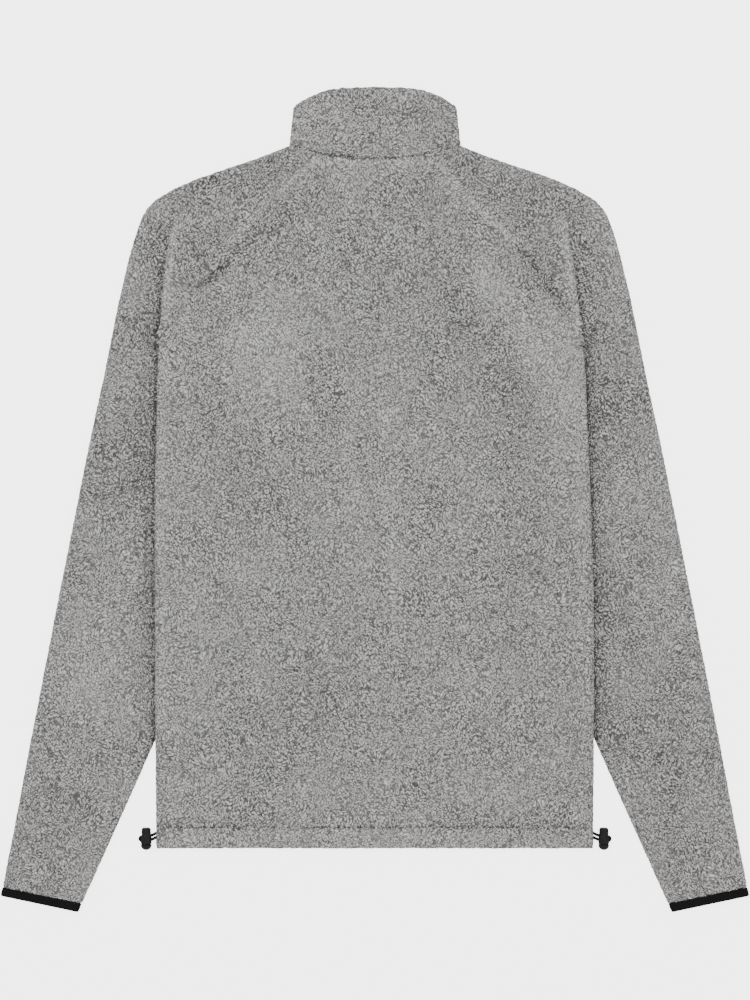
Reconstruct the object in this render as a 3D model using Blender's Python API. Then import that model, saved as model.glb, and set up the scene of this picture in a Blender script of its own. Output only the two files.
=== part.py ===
"""Fleece jacket laid flat on its front, back up.

Axes: X to the garment's right side as seen, Y towards the collar, Z up from
the surface it lies on. Tables are in millimetres: `drop` is the distance
below the collar's top edge and `half` the distance from the centre line.
"""
import math

import bmesh
import bpy
import numpy as np

MM = 0.001

# Driving dimensions, millimetres
TOTAL_LENGTH = 826.0
CLOTH = 3.2
LAYER_PITCH = 4.2
SEAM_GAP = 0.4
SLEEVE_TUCK = 3.0
SLEEVE_TUCK_END = 330.0
BACK_SEAM_INSET = 5.0
FRONT_SEAM_INSET = 0.2
BEND = LAYER_PITCH / 2.0
MIN_WALL_RISE = 0.1
SLEEVE_STACK = 2.0 * LAYER_PITCH
LIFT_RAMP = 46.0
ARMPIT_DROP = 258.5
HEM_DROP = 762.0
HEM_LINE_DROP = 741.0
HEM_LINE_DEPTH = 0.9
HEM_BAND_RISE = 0.5
NECK_HALF = 86.0
NECK_SIDE_DROP = 60.5
BACK_NECK_DROP = 73.0
FRONT_NECK_DROP = 135.5
FRONT_NECK_CURVE = 2.2
ZIP_HALF = 7.3
COLLAR_FRONT_DROP = 73.5
LOWER_START_DROP = 291.5
STRIP_WIDTH = 9.0
FOLD_START_DROP = 112.0

LEVEL_1 = CLOTH / 2.0
LEVEL_2 = LEVEL_1 + LAYER_PITCH
NECK_END = NECK_HALF - LEVEL_1 - BEND


def table(columns, rows):
    """A table with named columns, as a dictionary of arrays."""
    values = np.array(rows, dtype=float)
    return {name: values[:, i] for i, name in enumerate(columns.split())}


# Outer edge of the sleeve from the neck over the shoulder to the cuff
SILHOUETTE = table("drop half", [
    (60.5, 86.0), (62.0, 94.0), (65.5, 103.0), (69.5, 113.0), (73.5, 124.5),
    (83.5, 154.5), (93.5, 183.0), (103.5, 204.5), (113.5, 220.5), (123.5, 230.0),
    (133.5, 235.0), (153.5, 241.5), (173.5, 247.0), (213.5, 256.5), (253.5, 264.5),
    (293.5, 272.5), (353.5, 285.5), (433.5, 301.5), (513.5, 317.5), (593.5, 333.0),
    (673.5, 348.5), (753.5, 363.5), (800.5, 372.8), (809.5, 374.8)])

# Inner edge of the sleeve below the armpit, mostly under the body
SLEEVE_INNER = table("drop half", [
    (300.0, 212.0), (320.0, 200.0), (365.0, 180.0), (435.0, 167.0), (515.0, 172.0),
    (595.0, 196.0), (653.5, 220.0), (700.0, 240.5), (817.5, 293.4), (826.0, 297.0)])

# Side edge of the body, carried up across the sleeve as a fold
FOLD = table("drop left right", [
    (60.0, 186.0, 180.0), (100.0, 196.0, 188.0), (123.5, 200.4, 190.4),
    (151.5, 205.7, 194.7), (186.5, 210.4, 200.0), (221.5, 213.6, 204.0),
    (256.5, 215.7, 207.5), (291.5, 217.3, 210.5), (333.5, 218.0, 211.8),
    (413.5, 220.0, 215.3), (513.5, 219.6, 218.5), (762.0, 219.0, 218.5)])

# Seam between the back and each sleeve, from the neck towards the armpit
BACK_RAGLAN = table("drop left right", [
    (67.0, 60.0, 54.0), (93.5, 88.0, 78.0), (123.5, 116.0, 100.0),
    (158.5, 146.0, 130.0), (198.5, 177.0, 163.0), (231.5, 196.0, 187.0)])

# Seam between each front and its sleeve
FRONT_RAGLAN = table("drop half", [
    (112.8, 50.0), (150.0, 78.0), (190.0, 112.0), (225.0, 152.0), (246.0, 188.0)])

# Top edge of the collar at the back
COLLAR_TOP = table("half drop", [
    (0.0, 0.0), (38.0, 1.2), (47.0, 3.0), (55.0, 5.5), (65.0, 9.5), (73.0, 13.8),
    (79.0, 18.5)])
COLLAR_SIDE_HALF = 82.0
COLLAR_SIDE_DROP = 25.0

# Rows down the body and the sleeve below the armpit
BODY_DROPS = [260.0, 268.0, 277.0, 286.0, 295.0, 312.0, 335.0, 365.0, 400.0, 440.0, 490.0,
              545.0, 595.0, 625.0, 653.5, 690.0, 720.0, 737.5, HEM_LINE_DROP, 744.5, HEM_DROP]
SLEEVE_DROPS = [260.0, 268.0, 277.0, 286.0, 300.0, 320.0, 342.0, 370.0, 405.0, 445.0, 500.0,
                555.0, 605.0, 653.5, 705.0, 765.0, 817.5]
UPPER_ROWS = 13
NECK_FADE = 0.445
SLEEVE_NECK_FADE = 0.335
CUFF_OUTER_DROPS = (801.5, 809.5)
CUFF_INNER_DROPS = (817.9, 826.0)
CUFF_CLOTH = 3.4
CUFF_PROUD = 0.8

# Zip
TAPE_EDGE = 6.9
TAPE_BOTTOM, TAPE_TOP = 1.2, 2.3
CHAIN_HALF = 2.2
CHAIN_TOP = 2.9
SLIDER_DROPS = (75.0, 85.0)
TAPE_DROPS = (74.5, 761.0)
TAPE_INNER = 0.15
CHAIN_BEVEL = 0.5
ZIP_CLEAR = 0.4
SLIDER_HALF = 3.9
SLIDER_Z = (0.1, 3.4)
CHANNEL_HALF, CHANNEL_TOP = 2.3, 1.15
PULL_HINGE_DROP = 80.0
PULL_HINGE_Z = 0.5
PULL_THICKNESS = 0.76
# distance from the hinge, half width
PULL_OUTLINE = table("reach half", [
    (-0.38, 1.9), (6.0, 1.9), (8.5, 2.9), (24.0, 3.2), (27.0, 2.2), (28.0, 1.0)])

# Cord locks and the drawcord's loops
LOCK_HALF = 229.0
LOCK_RADIUS = 5.6
LOCK_PROFILE = table("drop radius", [
    (741.4, 2.9), (741.9, 4.0), (743.0, 4.6), (748.5, 4.9), (751.0, 5.5), (757.0, 5.6),
    (757.6, 5.0)])
BUTTON_PROFILE = table("drop radius", [
    (757.9, 4.7), (758.3, 5.3), (759.6, 5.4), (761.2, 4.9), (762.6, 3.7), (763.6, 1.9)])
LOCK_Z = LOCK_RADIUS + 0.1
SLOT_HEIGHT = 3.6
SLOT_MARGIN = 1.0
CORD_DIAMETER = 3.0
STRAND_HALF_GAP = 2.1
CORD_LOCK_DROP = 752.0
CORD_HEM_GAP = 0.9
CORD_HEM_RISE = 3.1
CORD_LOCK_RISE = 0.9
CORD_LOOP_FALL = 0.5
CORD_EXIT_Z = 4.2
LOOP_INSET = 1.3

COLOURS = {"fleece": (0.318, 0.310, 0.301), "knit": (0.012, 0.012, 0.013),
           "tape": (0.02, 0.02, 0.021), "plastic": (0.011, 0.011, 0.012),
           "cord": (0.012, 0.012, 0.013), "metal": (0.05, 0.05, 0.052)}
ROUGHNESS = {"fleece": 0.95, "knit": 0.85, "tape": 0.8, "plastic": 0.38, "cord": 0.8, "metal": 0.35}


def smooth(value):
    """Smoothstep from 0 to 1."""
    value = np.clip(value, 0.0, 1.0)
    return value * value * (3.0 - 2.0 * value)


def material(slot):
    """The plain finish of a kind of piece."""
    finish = bpy.data.materials.get(slot) or bpy.data.materials.new(slot)
    finish.use_nodes = True
    shader = finish.node_tree.nodes["Principled BSDF"]
    shader.inputs["Base Color"].default_value = (*COLOURS[slot], 1.0)
    shader.inputs["Roughness"].default_value = ROUGHNESS[slot]
    shader.inputs["Metallic"].default_value = 1.0 if slot == "metal" else 0.0
    return finish


def place(points):
    """Millimetres with `drop` as the second value, to metres in the world."""
    world = np.array(points, dtype=float)
    world[..., 1] = TOTAL_LENGTH / 2.0 - world[..., 1]
    return world * MM


def add_object(name, mesh, slot, rounded=True):
    """Link a mesh to the scene with its material."""
    mesh.materials.append(material(slot))
    if rounded:
        mesh.shade_smooth()
        mesh.set_sharp_from_angle(angle=math.radians(50.0))
    obj = bpy.data.objects.new(name, mesh)
    bpy.context.collection.objects.link(obj)
    return obj


def thick_sheet(name, middle, keep, slot, outer=None, cloth=CLOTH, square_end=False):
    """Give a grid of middle points the cloth's thickness, where `keep` has cells.

    Each point moves half the cloth to both sides along the mean normal of its
    kept cells; `outer` adds to the outer side. The first row's edge stands
    square to the garment's length, and with `square_end` the last row's too.
    """
    points = place(middle)
    rows, columns = points.shape[:2]
    across = points[:-1, 1:] - points[1:, :-1]
    down = points[1:, 1:] - points[:-1, :-1]
    normals = np.cross(down, across)
    normals /= np.linalg.norm(normals, axis=2, keepdims=True) + 1e-15
    normals[~keep] = 0.0
    total = np.zeros_like(points)
    for i in (0, 1):
        for j in (0, 1):
            total[i:rows - 1 + i, j:columns - 1 + j] += normals
    total[0, :, 1] = 0.0
    if square_end:
        total[-1, :, 1] = 0.0
    total /= np.linalg.norm(total, axis=2, keepdims=True) + 1e-15
    extra = np.zeros((rows, columns)) if outer is None else outer
    top = points + total * ((cloth / 2.0 + extra) * MM)[..., None]
    base = points - total * (cloth / 2.0 * MM)
    count = rows * columns
    index = np.arange(count).reshape(rows, columns)
    corners = np.stack([index[:-1, :-1], index[1:, :-1], index[1:, 1:], index[:-1, 1:]], axis=-1)[keep]
    faces = [tuple(c) for c in corners]
    faces += [tuple(c[::-1] + count) for c in corners]
    edges = {(c[k], c[(k + 1) % 4]) for c in corners for k in range(4)}
    faces += [(b, a, a + count, b + count) for a, b in sorted(edges) if (b, a) not in edges]
    used = sorted({v for face in faces for v in face})
    renumber = {v: i for i, v in enumerate(used)}
    vertices = np.concatenate([top.reshape(-1, 3), base.reshape(-1, 3)])[used]
    mesh = bpy.data.meshes.new(name)
    mesh.from_pydata(vertices.tolist(), [], [[renumber[v] for v in face] for face in faces])
    mesh.update()
    return add_object(name, mesh, slot)


def at(curve, column, drop):
    """Value of a table's column at a drop."""
    return np.interp(drop, curve["drop"], curve[column])


def fold_half(side, drop):
    return at(FOLD, side, drop)


def inner_half(side, drop):
    """Inner edge of the sleeve: beside the body first, then under it."""
    drop = np.asarray(drop)
    beside = fold_half(side, drop) + SEAM_GAP
    near = drop < SLEEVE_TUCK_END
    under = at(SLEEVE_INNER, "half", drop)
    under = np.where(near, np.minimum(under, fold_half(side, drop) - SLEEVE_TUCK), under)
    return np.where(drop <= LOWER_START_DROP, beside, under)


def crease_half(side, drop):
    """Half width beyond which the body lies at full height over the sleeve."""
    below = inner_half(side, np.maximum(drop, 296.0)) - 4.0
    above = fold_half(side, drop) - 4.0
    return above + (below - above) * smooth((np.asarray(drop) - 285.0) / 30.0)


def back_lift(side, half, drop):
    """How far the back is raised where it lies over the sleeve."""
    ramp = smooth((half - crease_half(side, drop) + LIFT_RAMP) / LIFT_RAMP)
    return SLEEVE_STACK * ramp * smooth((np.asarray(drop) - FOLD_START_DROP) / 125.0)


def front_lift(side, half, drop):
    """How far a front is raised: from nothing at the armpit."""
    return back_lift(side, half, drop) * smooth((np.asarray(drop) - ARMPIT_DROP - 3.0) / 30.0)


def resample(drops, halves, count):
    """Points at equal steps along a curve, as (half, drop) rows."""
    curve = np.stack([halves, drops], axis=1)
    steps = np.concatenate([[0.0], np.cumsum(np.linalg.norm(np.diff(curve, axis=0), axis=1))])
    wanted = np.linspace(0.0, steps[-1], count)
    return np.stack([np.interp(wanted, steps, curve[:, i]) for i in (0, 1)], axis=1)


def seam_rows(curve, column, neck, end_half, count):
    """Points along a raglan seam, from the neckline to the armpit."""
    drops = np.append(curve["drop"], ARMPIT_DROP)
    drops[0] = neck(curve[column][0])
    halves = np.append(curve[column], end_half)
    return resample(drops, halves, count)


def front_seam(side):
    end_half = fold_half(side, ARMPIT_DROP) - FRONT_SEAM_INSET
    return seam_rows(FRONT_RAGLAN, "half", front_neck_drop, end_half, UPPER_ROWS + 1)


def back_seam(side):
    end_half = fold_half(side, ARMPIT_DROP) - BACK_SEAM_INSET
    return seam_rows(BACK_RAGLAN, side, back_neck_drop, end_half, UPPER_ROWS + 1)


def back_neck_drop(half):
    sag = BACK_NECK_DROP - NECK_SIDE_DROP
    return BACK_NECK_DROP - sag * (np.asarray(half) / NECK_END) ** 2


def front_neck_drop(half):
    depth = FRONT_NECK_DROP - NECK_SIDE_DROP
    share = np.clip(np.asarray(half) / NECK_END, 0.0, 1.0)
    return FRONT_NECK_DROP - depth * share ** FRONT_NECK_CURVE


def outward(points):
    """Unit normals of a (half, drop) curve that runs down the garment, away from the centre."""
    run = np.gradient(points, axis=0)
    normal = np.stack([run[:, 1], -run[:, 0]], axis=1)
    return normal / np.linalg.norm(normal, axis=1, keepdims=True)


def flat(points, height):
    """Give (half, drop) points a height."""
    heights = np.broadcast_to(height, points.shape[:-1])
    return np.concatenate([points, heights[..., None]], axis=-1)


def bend(centre, direction, middle_z, radius, start, stop, steps):
    """Points of an arc that turns in the plane of `direction` and Z, angles in degrees."""
    angles = np.radians(np.linspace(start, stop, steps + 1))
    plan = centre + np.outer(np.cos(angles), direction) * radius
    return np.concatenate([plan, (middle_z + radius * np.sin(angles))[:, None]], axis=1)


def straight(first, last, steps):
    share = np.linspace(0.0, 1.0, steps + 1)[:, None]
    return np.asarray(first) + (np.asarray(last) - np.asarray(first)) * share


def fold_step(edge, inboard, rise, steps=3):
    """Section of the fold: up from the lower layer and over, with round corners.

    `edge` is the fold's outer face, `inboard` the plan direction to the seam.
    """
    turn = math.acos(max(0.0, 1.0 - rise / (2.0 * BEND)))
    wall = edge + inboard * LEVEL_1
    angles = np.linspace(0.0, turn, steps + 1)
    run = BEND * (math.sin(turn) - np.sin(angles))
    height = BEND * (1.0 - np.cos(angles))
    lower_plan = wall - np.outer(run, inboard)
    upper_plan = wall + np.outer(run[::-1], inboard)
    lower = np.concatenate([lower_plan, (LEVEL_2 + height)[:, None]], axis=1)
    upper = np.concatenate([upper_plan, (LEVEL_2 + rise - height[::-1])[:, None]], axis=1)
    if rise <= 2.0 * BEND + 0.01:
        middle = (lower[-1] + upper[0]) / 2.0
        apart = (upper[1] - lower[-2]) * 0.04
        lower[-1] = middle - apart
        upper[0] = middle + apart
    return np.concatenate([lower, upper])


def mirror(side, middle):
    """Points in (half, drop, height) to signed x."""
    signed = np.array(middle)
    signed[..., 0] *= -1.0 if side == "left" else 1.0
    return signed


def sleeve_edges(side):
    """Outer, back-seam and front-seam points of the rows, from the neck to the cuff."""
    upper = SILHOUETTE["drop"] < 250.0
    top_end = np.append(SILHOUETTE["drop"][upper], 250.0)
    top_half = np.append(SILHOUETTE["half"][upper], at(SILHOUETTE, "half", 250.0))
    outer_upper = resample(top_end, top_half, UPPER_ROWS + 1)
    back = back_seam(side)
    front = front_seam(side)
    front[-1, 0] += SEAM_GAP + BEND
    inner_drop = np.array(SLEEVE_DROPS)
    outer_drop = np.interp(inner_drop, [ARMPIT_DROP, SLEEVE_DROPS[-1]], [250.0, 801.0])
    outer_lower = np.stack([at(SILHOUETTE, "half", outer_drop), outer_drop], axis=1)
    inner = np.stack([inner_half(side, inner_drop), inner_drop], axis=1)
    return np.concatenate([outer_upper, outer_lower]), back, front, inner


def neck_row(first, last, neck, weight, steps):
    """A row between two plan points that follows the neckline by `weight`."""
    row = straight(first, last, steps)
    curve = neck(row[:, 0])
    chord = curve[0] + (curve[-1] - curve[0]) * np.linspace(0.0, 1.0, steps + 1)
    row[:, 1] += (curve - chord) * weight
    return row


def sleeve(side):
    """One-piece raglan sleeve, a flattened tube with its underarm seam left open by a slit."""
    outer, back, front, inner = sleeve_edges(side)
    out = outward(outer)
    out[0] = (1.0, 0.0)
    inset = LEVEL_1 + BEND
    shoulder = outer - out * inset
    inner_out = outward(inner)
    inner_out[:4] = (1.0, 0.0)
    lap = inner + inner_out * (inset + SEAM_GAP)
    rows = []
    for i, point in enumerate(shoulder):
        upper = i <= UPPER_ROWS
        weight = max(0.0, 1.0 - i / UPPER_ROWS / SLEEVE_NECK_FADE) ** 2
        shift = np.array([0.0, SEAM_GAP / 2.0]) * (i == 0)
        if upper:
            seam_back = back[i] + shift + (SEAM_GAP / 2.0, 0.0)
            seam_front = front[i] + shift + (SEAM_GAP / 2.0, 0.0)
            wrap = bend(seam_front, np.array([1.0, 0.0]), LEVEL_1 + BEND, BEND, 90, 270, 6)
            below = neck_row(seam_front, point + shift, front_neck_drop, weight, 6)
            whole = straight(point + shift, seam_back, 200)
            inside = np.nonzero(whole[:, 0] <= fold_half(side, whole[:, 1]))[0]
            crossing = min(max(inside[0], 24), 150)
            edge = whole[crossing]
            inboard = (seam_back - point) / np.linalg.norm(seam_back - point)
            rise = max(0.3, float(back_lift(side, edge[0], edge[1])))
            step = fold_step(edge, inboard, rise)
            flap = straight(step[-1, :2], seam_back, 5)
            above = straight(point + shift, step[0, :2], 5)
        else:
            k = i - UPPER_ROWS - 1
            seam = lap[k] - inner_out[k] * SEAM_GAP
            wrap = bend(seam, -inner_out[k], LEVEL_1 + BEND, BEND, 90, -90, 6)
            below = straight(seam, point, 6)
            above = straight(point, lap[k], 5)
            step = flat(np.tile(above[-1], (8, 1)), LEVEL_2)
            flap = np.tile(above[-1], (6, 1))
            rise = 0.0
        turn = bend(point + shift, out[i], LEVEL_1 + BEND, BEND, -90, 90, 6)
        flap_z = LEVEL_2 + back_lift(side, flap[:, 0], flap[:, 1])
        flap_z += np.linspace(step[-1, 2] - flap_z[0], 0.0, 6)
        rows.append(np.concatenate([wrap[:-1], flat(below, LEVEL_1), turn[1:],
                                    flat(above, LEVEL_2)[1:], step[1:], flat(flap, flap_z)[1:]]))
    middle = np.array(rows)
    keep = np.ones((middle.shape[0] - 1, middle.shape[1] - 1), dtype=bool)
    keep[:UPPER_ROWS + 1, :6] = False
    keep[UPPER_ROWS:, 6 + 6 + 6 + 5:] = False
    grid = mirror(side, middle)
    if side == "left":
        grid = grid[:, ::-1]
        keep = keep[:, ::-1]
    return thick_sheet("sleeve_" + side, grid, keep, "fleece")


def cuff_binding(side):
    """Elastic binding that covers the end of the sleeve, a short flattened tube."""
    rows = []
    for outer_drop, inner_drop in zip(CUFF_OUTER_DROPS, CUFF_INNER_DROPS):
        outer = np.array([at(SILHOUETTE, "half", outer_drop) + CUFF_PROUD * 0.4, outer_drop])
        inner = np.array([float(inner_half(side, inner_drop)), inner_drop])
        along = (outer - inner) / np.linalg.norm(outer - inner)
        inset = CUFF_CLOTH / 2.0 + BEND
        far, near = outer - along * inset, inner + along * inset
        split = near + along * SEAM_GAP
        mid_z = CUFF_CLOTH / 2.0 + BEND
        rows.append(np.concatenate([
            bend(near, -along, mid_z, BEND, 90, -90, 6)[:-1], flat(straight(near, far, 8), mid_z - BEND),
            bend(far, along, mid_z, BEND, -90, 90, 6)[1:], flat(straight(far, split, 8), mid_z + BEND)[1:]]))
    middle = np.array(rows)
    keep = np.ones((1, middle.shape[1] - 1), dtype=bool)
    grid = mirror(side, middle)
    if side == "left":
        grid = grid[:, ::-1]
    return thick_sheet("cuff_binding_" + side, grid, keep, "knit", cloth=CUFF_CLOTH)


def stations(*stops):
    """Values at even steps between the stops; each stop after the first has its number of steps."""
    values = [np.atleast_1d(stops[0])]
    last = stops[0]
    for value, steps in stops[1:]:
        values.append(np.linspace(last, value, steps + 1)[1:])
        last = value
    return np.concatenate(values)


def strip_width(drop):
    """Width of the back that returns under the side edge to the side seam."""
    return 1.0 + (STRIP_WIDTH - 1.0) * float(smooth((drop - ARMPIT_DROP) / 20.0))


def hem_relief(drop):
    """Outer face of the hem: sunk at the stitched line, fuller below it."""
    if drop == HEM_LINE_DROP:
        return -HEM_LINE_DEPTH
    return HEM_BAND_RISE if HEM_LINE_DROP < drop < HEM_DROP else 0.0


def back_half_row(side, end, drop, wrapped):
    """One side of a row of the back, from the side seam to the centre line."""
    crease = min(float(crease_half(side, drop)), end - 3.0)
    ramp = np.clip(crease - LIFT_RAMP, end * 0.3, end * 0.6)
    half = stations(end, (crease, 3), (ramp, 6), (0.0, 5))
    height = LEVEL_2 + back_lift(side, half, drop)
    across = np.stack([half, np.full_like(half, drop), height], axis=1)
    if wrapped:
        top = float(height[0]) - BEND
        low = LEVEL_1 + float(front_lift(side, end, drop)) + BEND
        centre = np.array([end, drop])
        out = np.array([1.0, 0.0])
        strip_end = centre - out * strip_width(drop)
        strip = np.array([[strip_end[0], drop, low - BEND]])
        lower = bend(centre, out, low, BEND, -90, 0, 3)
        upper = bend(centre, out, max(top, low + MIN_WALL_RISE), BEND, 0, 90, 3)
        edge = np.concatenate([strip, lower, upper])
    else:
        edge = np.tile(across[0], (9, 1))
    return np.concatenate([edge, across[1:]])


def back():
    """Back panel: neckline, raglan seams, side edges that turn under, and the stitched hem."""
    lines = []
    relief = []
    seams = {side: back_seam(side) for side in ("left", "right")}
    sags = {side: back_neck_drop(0.0) - back_neck_drop(seams[side][:, 0]) for side in seams}
    for i in range(UPPER_ROWS + 1 + len(BODY_DROPS)):
        parts = []
        for side in ("left", "right"):
            if i <= UPPER_ROWS:
                end = seams[side][i, 0] - SEAM_GAP / 2.0
                drop = seams[side][i, 1]
                part = back_half_row(side, end, drop, False)
                weight = max(0.0, 1.0 - i / UPPER_ROWS / NECK_FADE) ** 2
                centre = np.mean([seams[s][i, 1] + sags[s][i] * weight for s in seams])
                sag = (back_neck_drop(part[:, 0]) - back_neck_drop(seams[side][i, 0])) * weight
                part[:, 1] += sag + (centre - drop - sags[side][i] * weight) * (1.0 - part[:, 0] / end)
                part[:, 1] += SEAM_GAP / 2.0 * (i == 0)
            else:
                drop = BODY_DROPS[i - UPPER_ROWS - 1]
                end = float(fold_half(side, drop)) - LEVEL_1 - BEND
                part = back_half_row(side, end, drop, True)
            parts.append(mirror(side, part))
        lines.append(np.concatenate([parts[0], parts[1][::-1][1:]]))
        relief.append(hem_relief(lines[-1][0, 1]) if i > UPPER_ROWS else 0.0)
    middle = np.array(lines)
    keep = np.ones((middle.shape[0] - 1, middle.shape[1] - 1), dtype=bool)
    keep[:UPPER_ROWS + 1, :8] = False
    keep[:UPPER_ROWS + 1, -8:] = False
    outer = np.repeat(np.array(relief)[:, None], middle.shape[1], axis=1)
    outer[:, :4] = 0.0
    outer[:, -4:] = 0.0
    return thick_sheet("back", middle, keep, "fleece", outer=outer, square_end=True)


def front(side):
    """A front panel, under the back, from the zip to the side seam."""
    seam = front_seam(side)
    lines = []
    for i in range(UPPER_ROWS + 1 + len(BODY_DROPS)):
        if i <= UPPER_ROWS:
            end, drop = seam[i] - (SEAM_GAP / 2.0, 0.0)
        else:
            drop = BODY_DROPS[i - UPPER_ROWS - 1]
            end = float(fold_half(side, drop)) - LEVEL_1 - BEND - strip_width(drop) - 2.0 * SEAM_GAP
        crease = min(float(crease_half(side, drop)), end - 3.0)
        width = end - ZIP_HALF
        ramp = np.clip(crease - LIFT_RAMP, ZIP_HALF + width * 0.3, ZIP_HALF + width * 0.6)
        half = stations(end, (crease, 2), (ramp, 6), (ZIP_HALF, 4))
        height = LEVEL_1 + front_lift(side, half, drop)
        row = np.stack([half, np.full_like(half, drop), height], axis=1)
        if i <= UPPER_ROWS:
            share = i / UPPER_ROWS
            centre = FRONT_NECK_DROP * (1.0 - share) + ARMPIT_DROP * share
            neck = front_neck_drop(half) - front_neck_drop(end)
            fall = neck / max(1.0, front_neck_drop(ZIP_HALF) - front_neck_drop(end)) * (centre - drop)
            plain = (centre - drop) * (1.0 - half / end)
            blend = max(0.0, 1.0 - share / NECK_FADE)
            row[:, 1] += fall * blend + plain * (1.0 - blend) + SEAM_GAP / 2.0 * (i == 0)
        lines.append(row)
    grid = mirror(side, np.array(lines))
    if side == "right":
        grid = grid[:, ::-1]
    keep = np.ones((grid.shape[0] - 1, grid.shape[1] - 1), dtype=bool)
    return thick_sheet("front_" + side, grid, keep, "fleece", square_end=True)


def collar_section(row_share):
    """One level of the collar, from the left zip edge round the back to the right one."""
    side_half = NECK_HALF + (COLLAR_SIDE_HALF - NECK_HALF) * row_share
    fold_drop = NECK_SIDE_DROP + (COLLAR_SIDE_DROP - NECK_SIDE_DROP) * row_share
    end = side_half - LEVEL_1 - BEND
    share = np.linspace(0.0, 1.0, 8)
    back_half = end * share
    bottom = back_neck_drop(NECK_END * back_half / end) - SEAM_GAP / 2.0
    top = np.interp(back_half, COLLAR_TOP["half"], COLLAR_TOP["drop"])
    back_drop = bottom + (top - bottom) * row_share
    front_half = ZIP_HALF + (end - ZIP_HALF) * np.linspace(0.0, 1.0, 8)
    low = front_neck_drop(NECK_END * front_half / end) - SEAM_GAP / 2.0
    dip = COLLAR_FRONT_DROP - COLLAR_SIDE_DROP
    high = COLLAR_SIDE_DROP + dip * (1.0 - (front_half / end) ** 2)
    front_drop = low + (high - low) * row_share
    turn = bend(np.array([end, 0.0]), np.array([1.0, 0.0]), LEVEL_1 + BEND, BEND, -90, 90, 6)
    turn[:, 1] = np.linspace(front_drop[-1], back_drop[-1], 7)
    turn[3, 1] = (turn[3, 1] + fold_drop) / 2.0
    front_row = np.stack([front_half, front_drop, np.full(8, LEVEL_1)], axis=1)
    back_row = np.stack([back_half, back_drop, np.full(8, LEVEL_2)], axis=1)[::-1]
    right = np.concatenate([front_row[:-1], turn, back_row[1:]])
    return np.concatenate([mirror("left", right), right[::-1][1:]])


def collar():
    """Standing collar laid flat: its back over its two fronts."""
    levels = np.array([collar_section(share) for share in np.linspace(1.0, 0.0, 7)])
    keep = np.ones((levels.shape[0] - 1, levels.shape[1] - 1), dtype=bool)
    return thick_sheet("collar", levels, keep, "fleece")


def prism(name, outline, axis_points, slot):
    """A closed outline of (x, z) carried straight between two drops."""
    count = len(outline)
    first, last = axis_points
    ring = [(x, first, z) for x, z in outline] + [(x, last, z) for x, z in outline]
    faces = [tuple(range(count)), tuple(range(2 * count - 1, count - 1, -1))]
    faces += [(k, k + count, (k + 1) % count + count, (k + 1) % count) for k in range(count)]
    mesh = bpy.data.meshes.new(name)
    mesh.from_pydata(place(ring).tolist(), [], faces)
    recalculate(mesh)
    return add_object(name, mesh, slot, rounded=False)


def recalculate(mesh):
    """Turn a closed mesh's faces outward."""
    work = bmesh.new()
    work.from_mesh(mesh)
    bmesh.ops.recalc_face_normals(work, faces=work.faces)
    work.to_mesh(mesh)
    work.free()


def zip_tape(side):
    """Zip tape with its half of the chain along the inner edge.

    Beside the slider only the tape's outer strip goes on, to the collar's top edge.
    """
    strip = SLIDER_HALF + ZIP_CLEAR
    outline = [(TAPE_INNER, TAPE_BOTTOM), (strip, TAPE_BOTTOM), (TAPE_EDGE, TAPE_BOTTOM),
               (TAPE_EDGE, TAPE_TOP), (strip, TAPE_TOP), (CHAIN_HALF, TAPE_TOP),
               (CHAIN_HALF - CHAIN_BEVEL, CHAIN_TOP), (TAPE_INNER, CHAIN_TOP)]
    top, bottom = TAPE_DROPS
    shoulder = SLIDER_DROPS[1] + ZIP_CLEAR
    sign = -1.0 if side == "left" else 1.0
    points = [(sign * x, drop, z) for drop in (bottom, shoulder) for x, z in outline]
    points += [(sign * x, top, z) for x, z in outline[1:5]]
    count = len(outline)
    first = 2 * count
    faces = [tuple(range(count)), (8, 9, 12, 13, 14, 15), (16, 17, 18, 19)]
    faces += [(k, (k + 1) % count, (k + 1) % count + count, k + count) for k in range(count)]
    faces += [(count + 1 + k, count + 2 + k, first + k + 1, first + k) for k in range(3)]
    faces.append((count + 4, count + 1, first, first + 3))
    mesh = bpy.data.meshes.new("zip_tape_" + side)
    mesh.from_pydata(place(points).tolist(), [], faces)
    recalculate(mesh)
    return add_object("zip_tape_" + side, mesh, "tape", rounded=False)


def zip_slider():
    """Slider at the top of the zip, with a channel under it that holds the pull."""
    low, high = SLIDER_Z
    outline = [(-SLIDER_HALF, low + 0.5), (-SLIDER_HALF + 0.5, low), (-CHANNEL_HALF, low),
               (-CHANNEL_HALF, CHANNEL_TOP), (CHANNEL_HALF, CHANNEL_TOP), (CHANNEL_HALF, low),
               (SLIDER_HALF - 0.5, low), (SLIDER_HALF, low + 0.5), (SLIDER_HALF, high - 0.8),
               (SLIDER_HALF - 0.8, high), (-SLIDER_HALF + 0.8, high), (-SLIDER_HALF, high - 0.8)]
    return prism("zip_slider", outline, SLIDER_DROPS, "metal")


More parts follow.
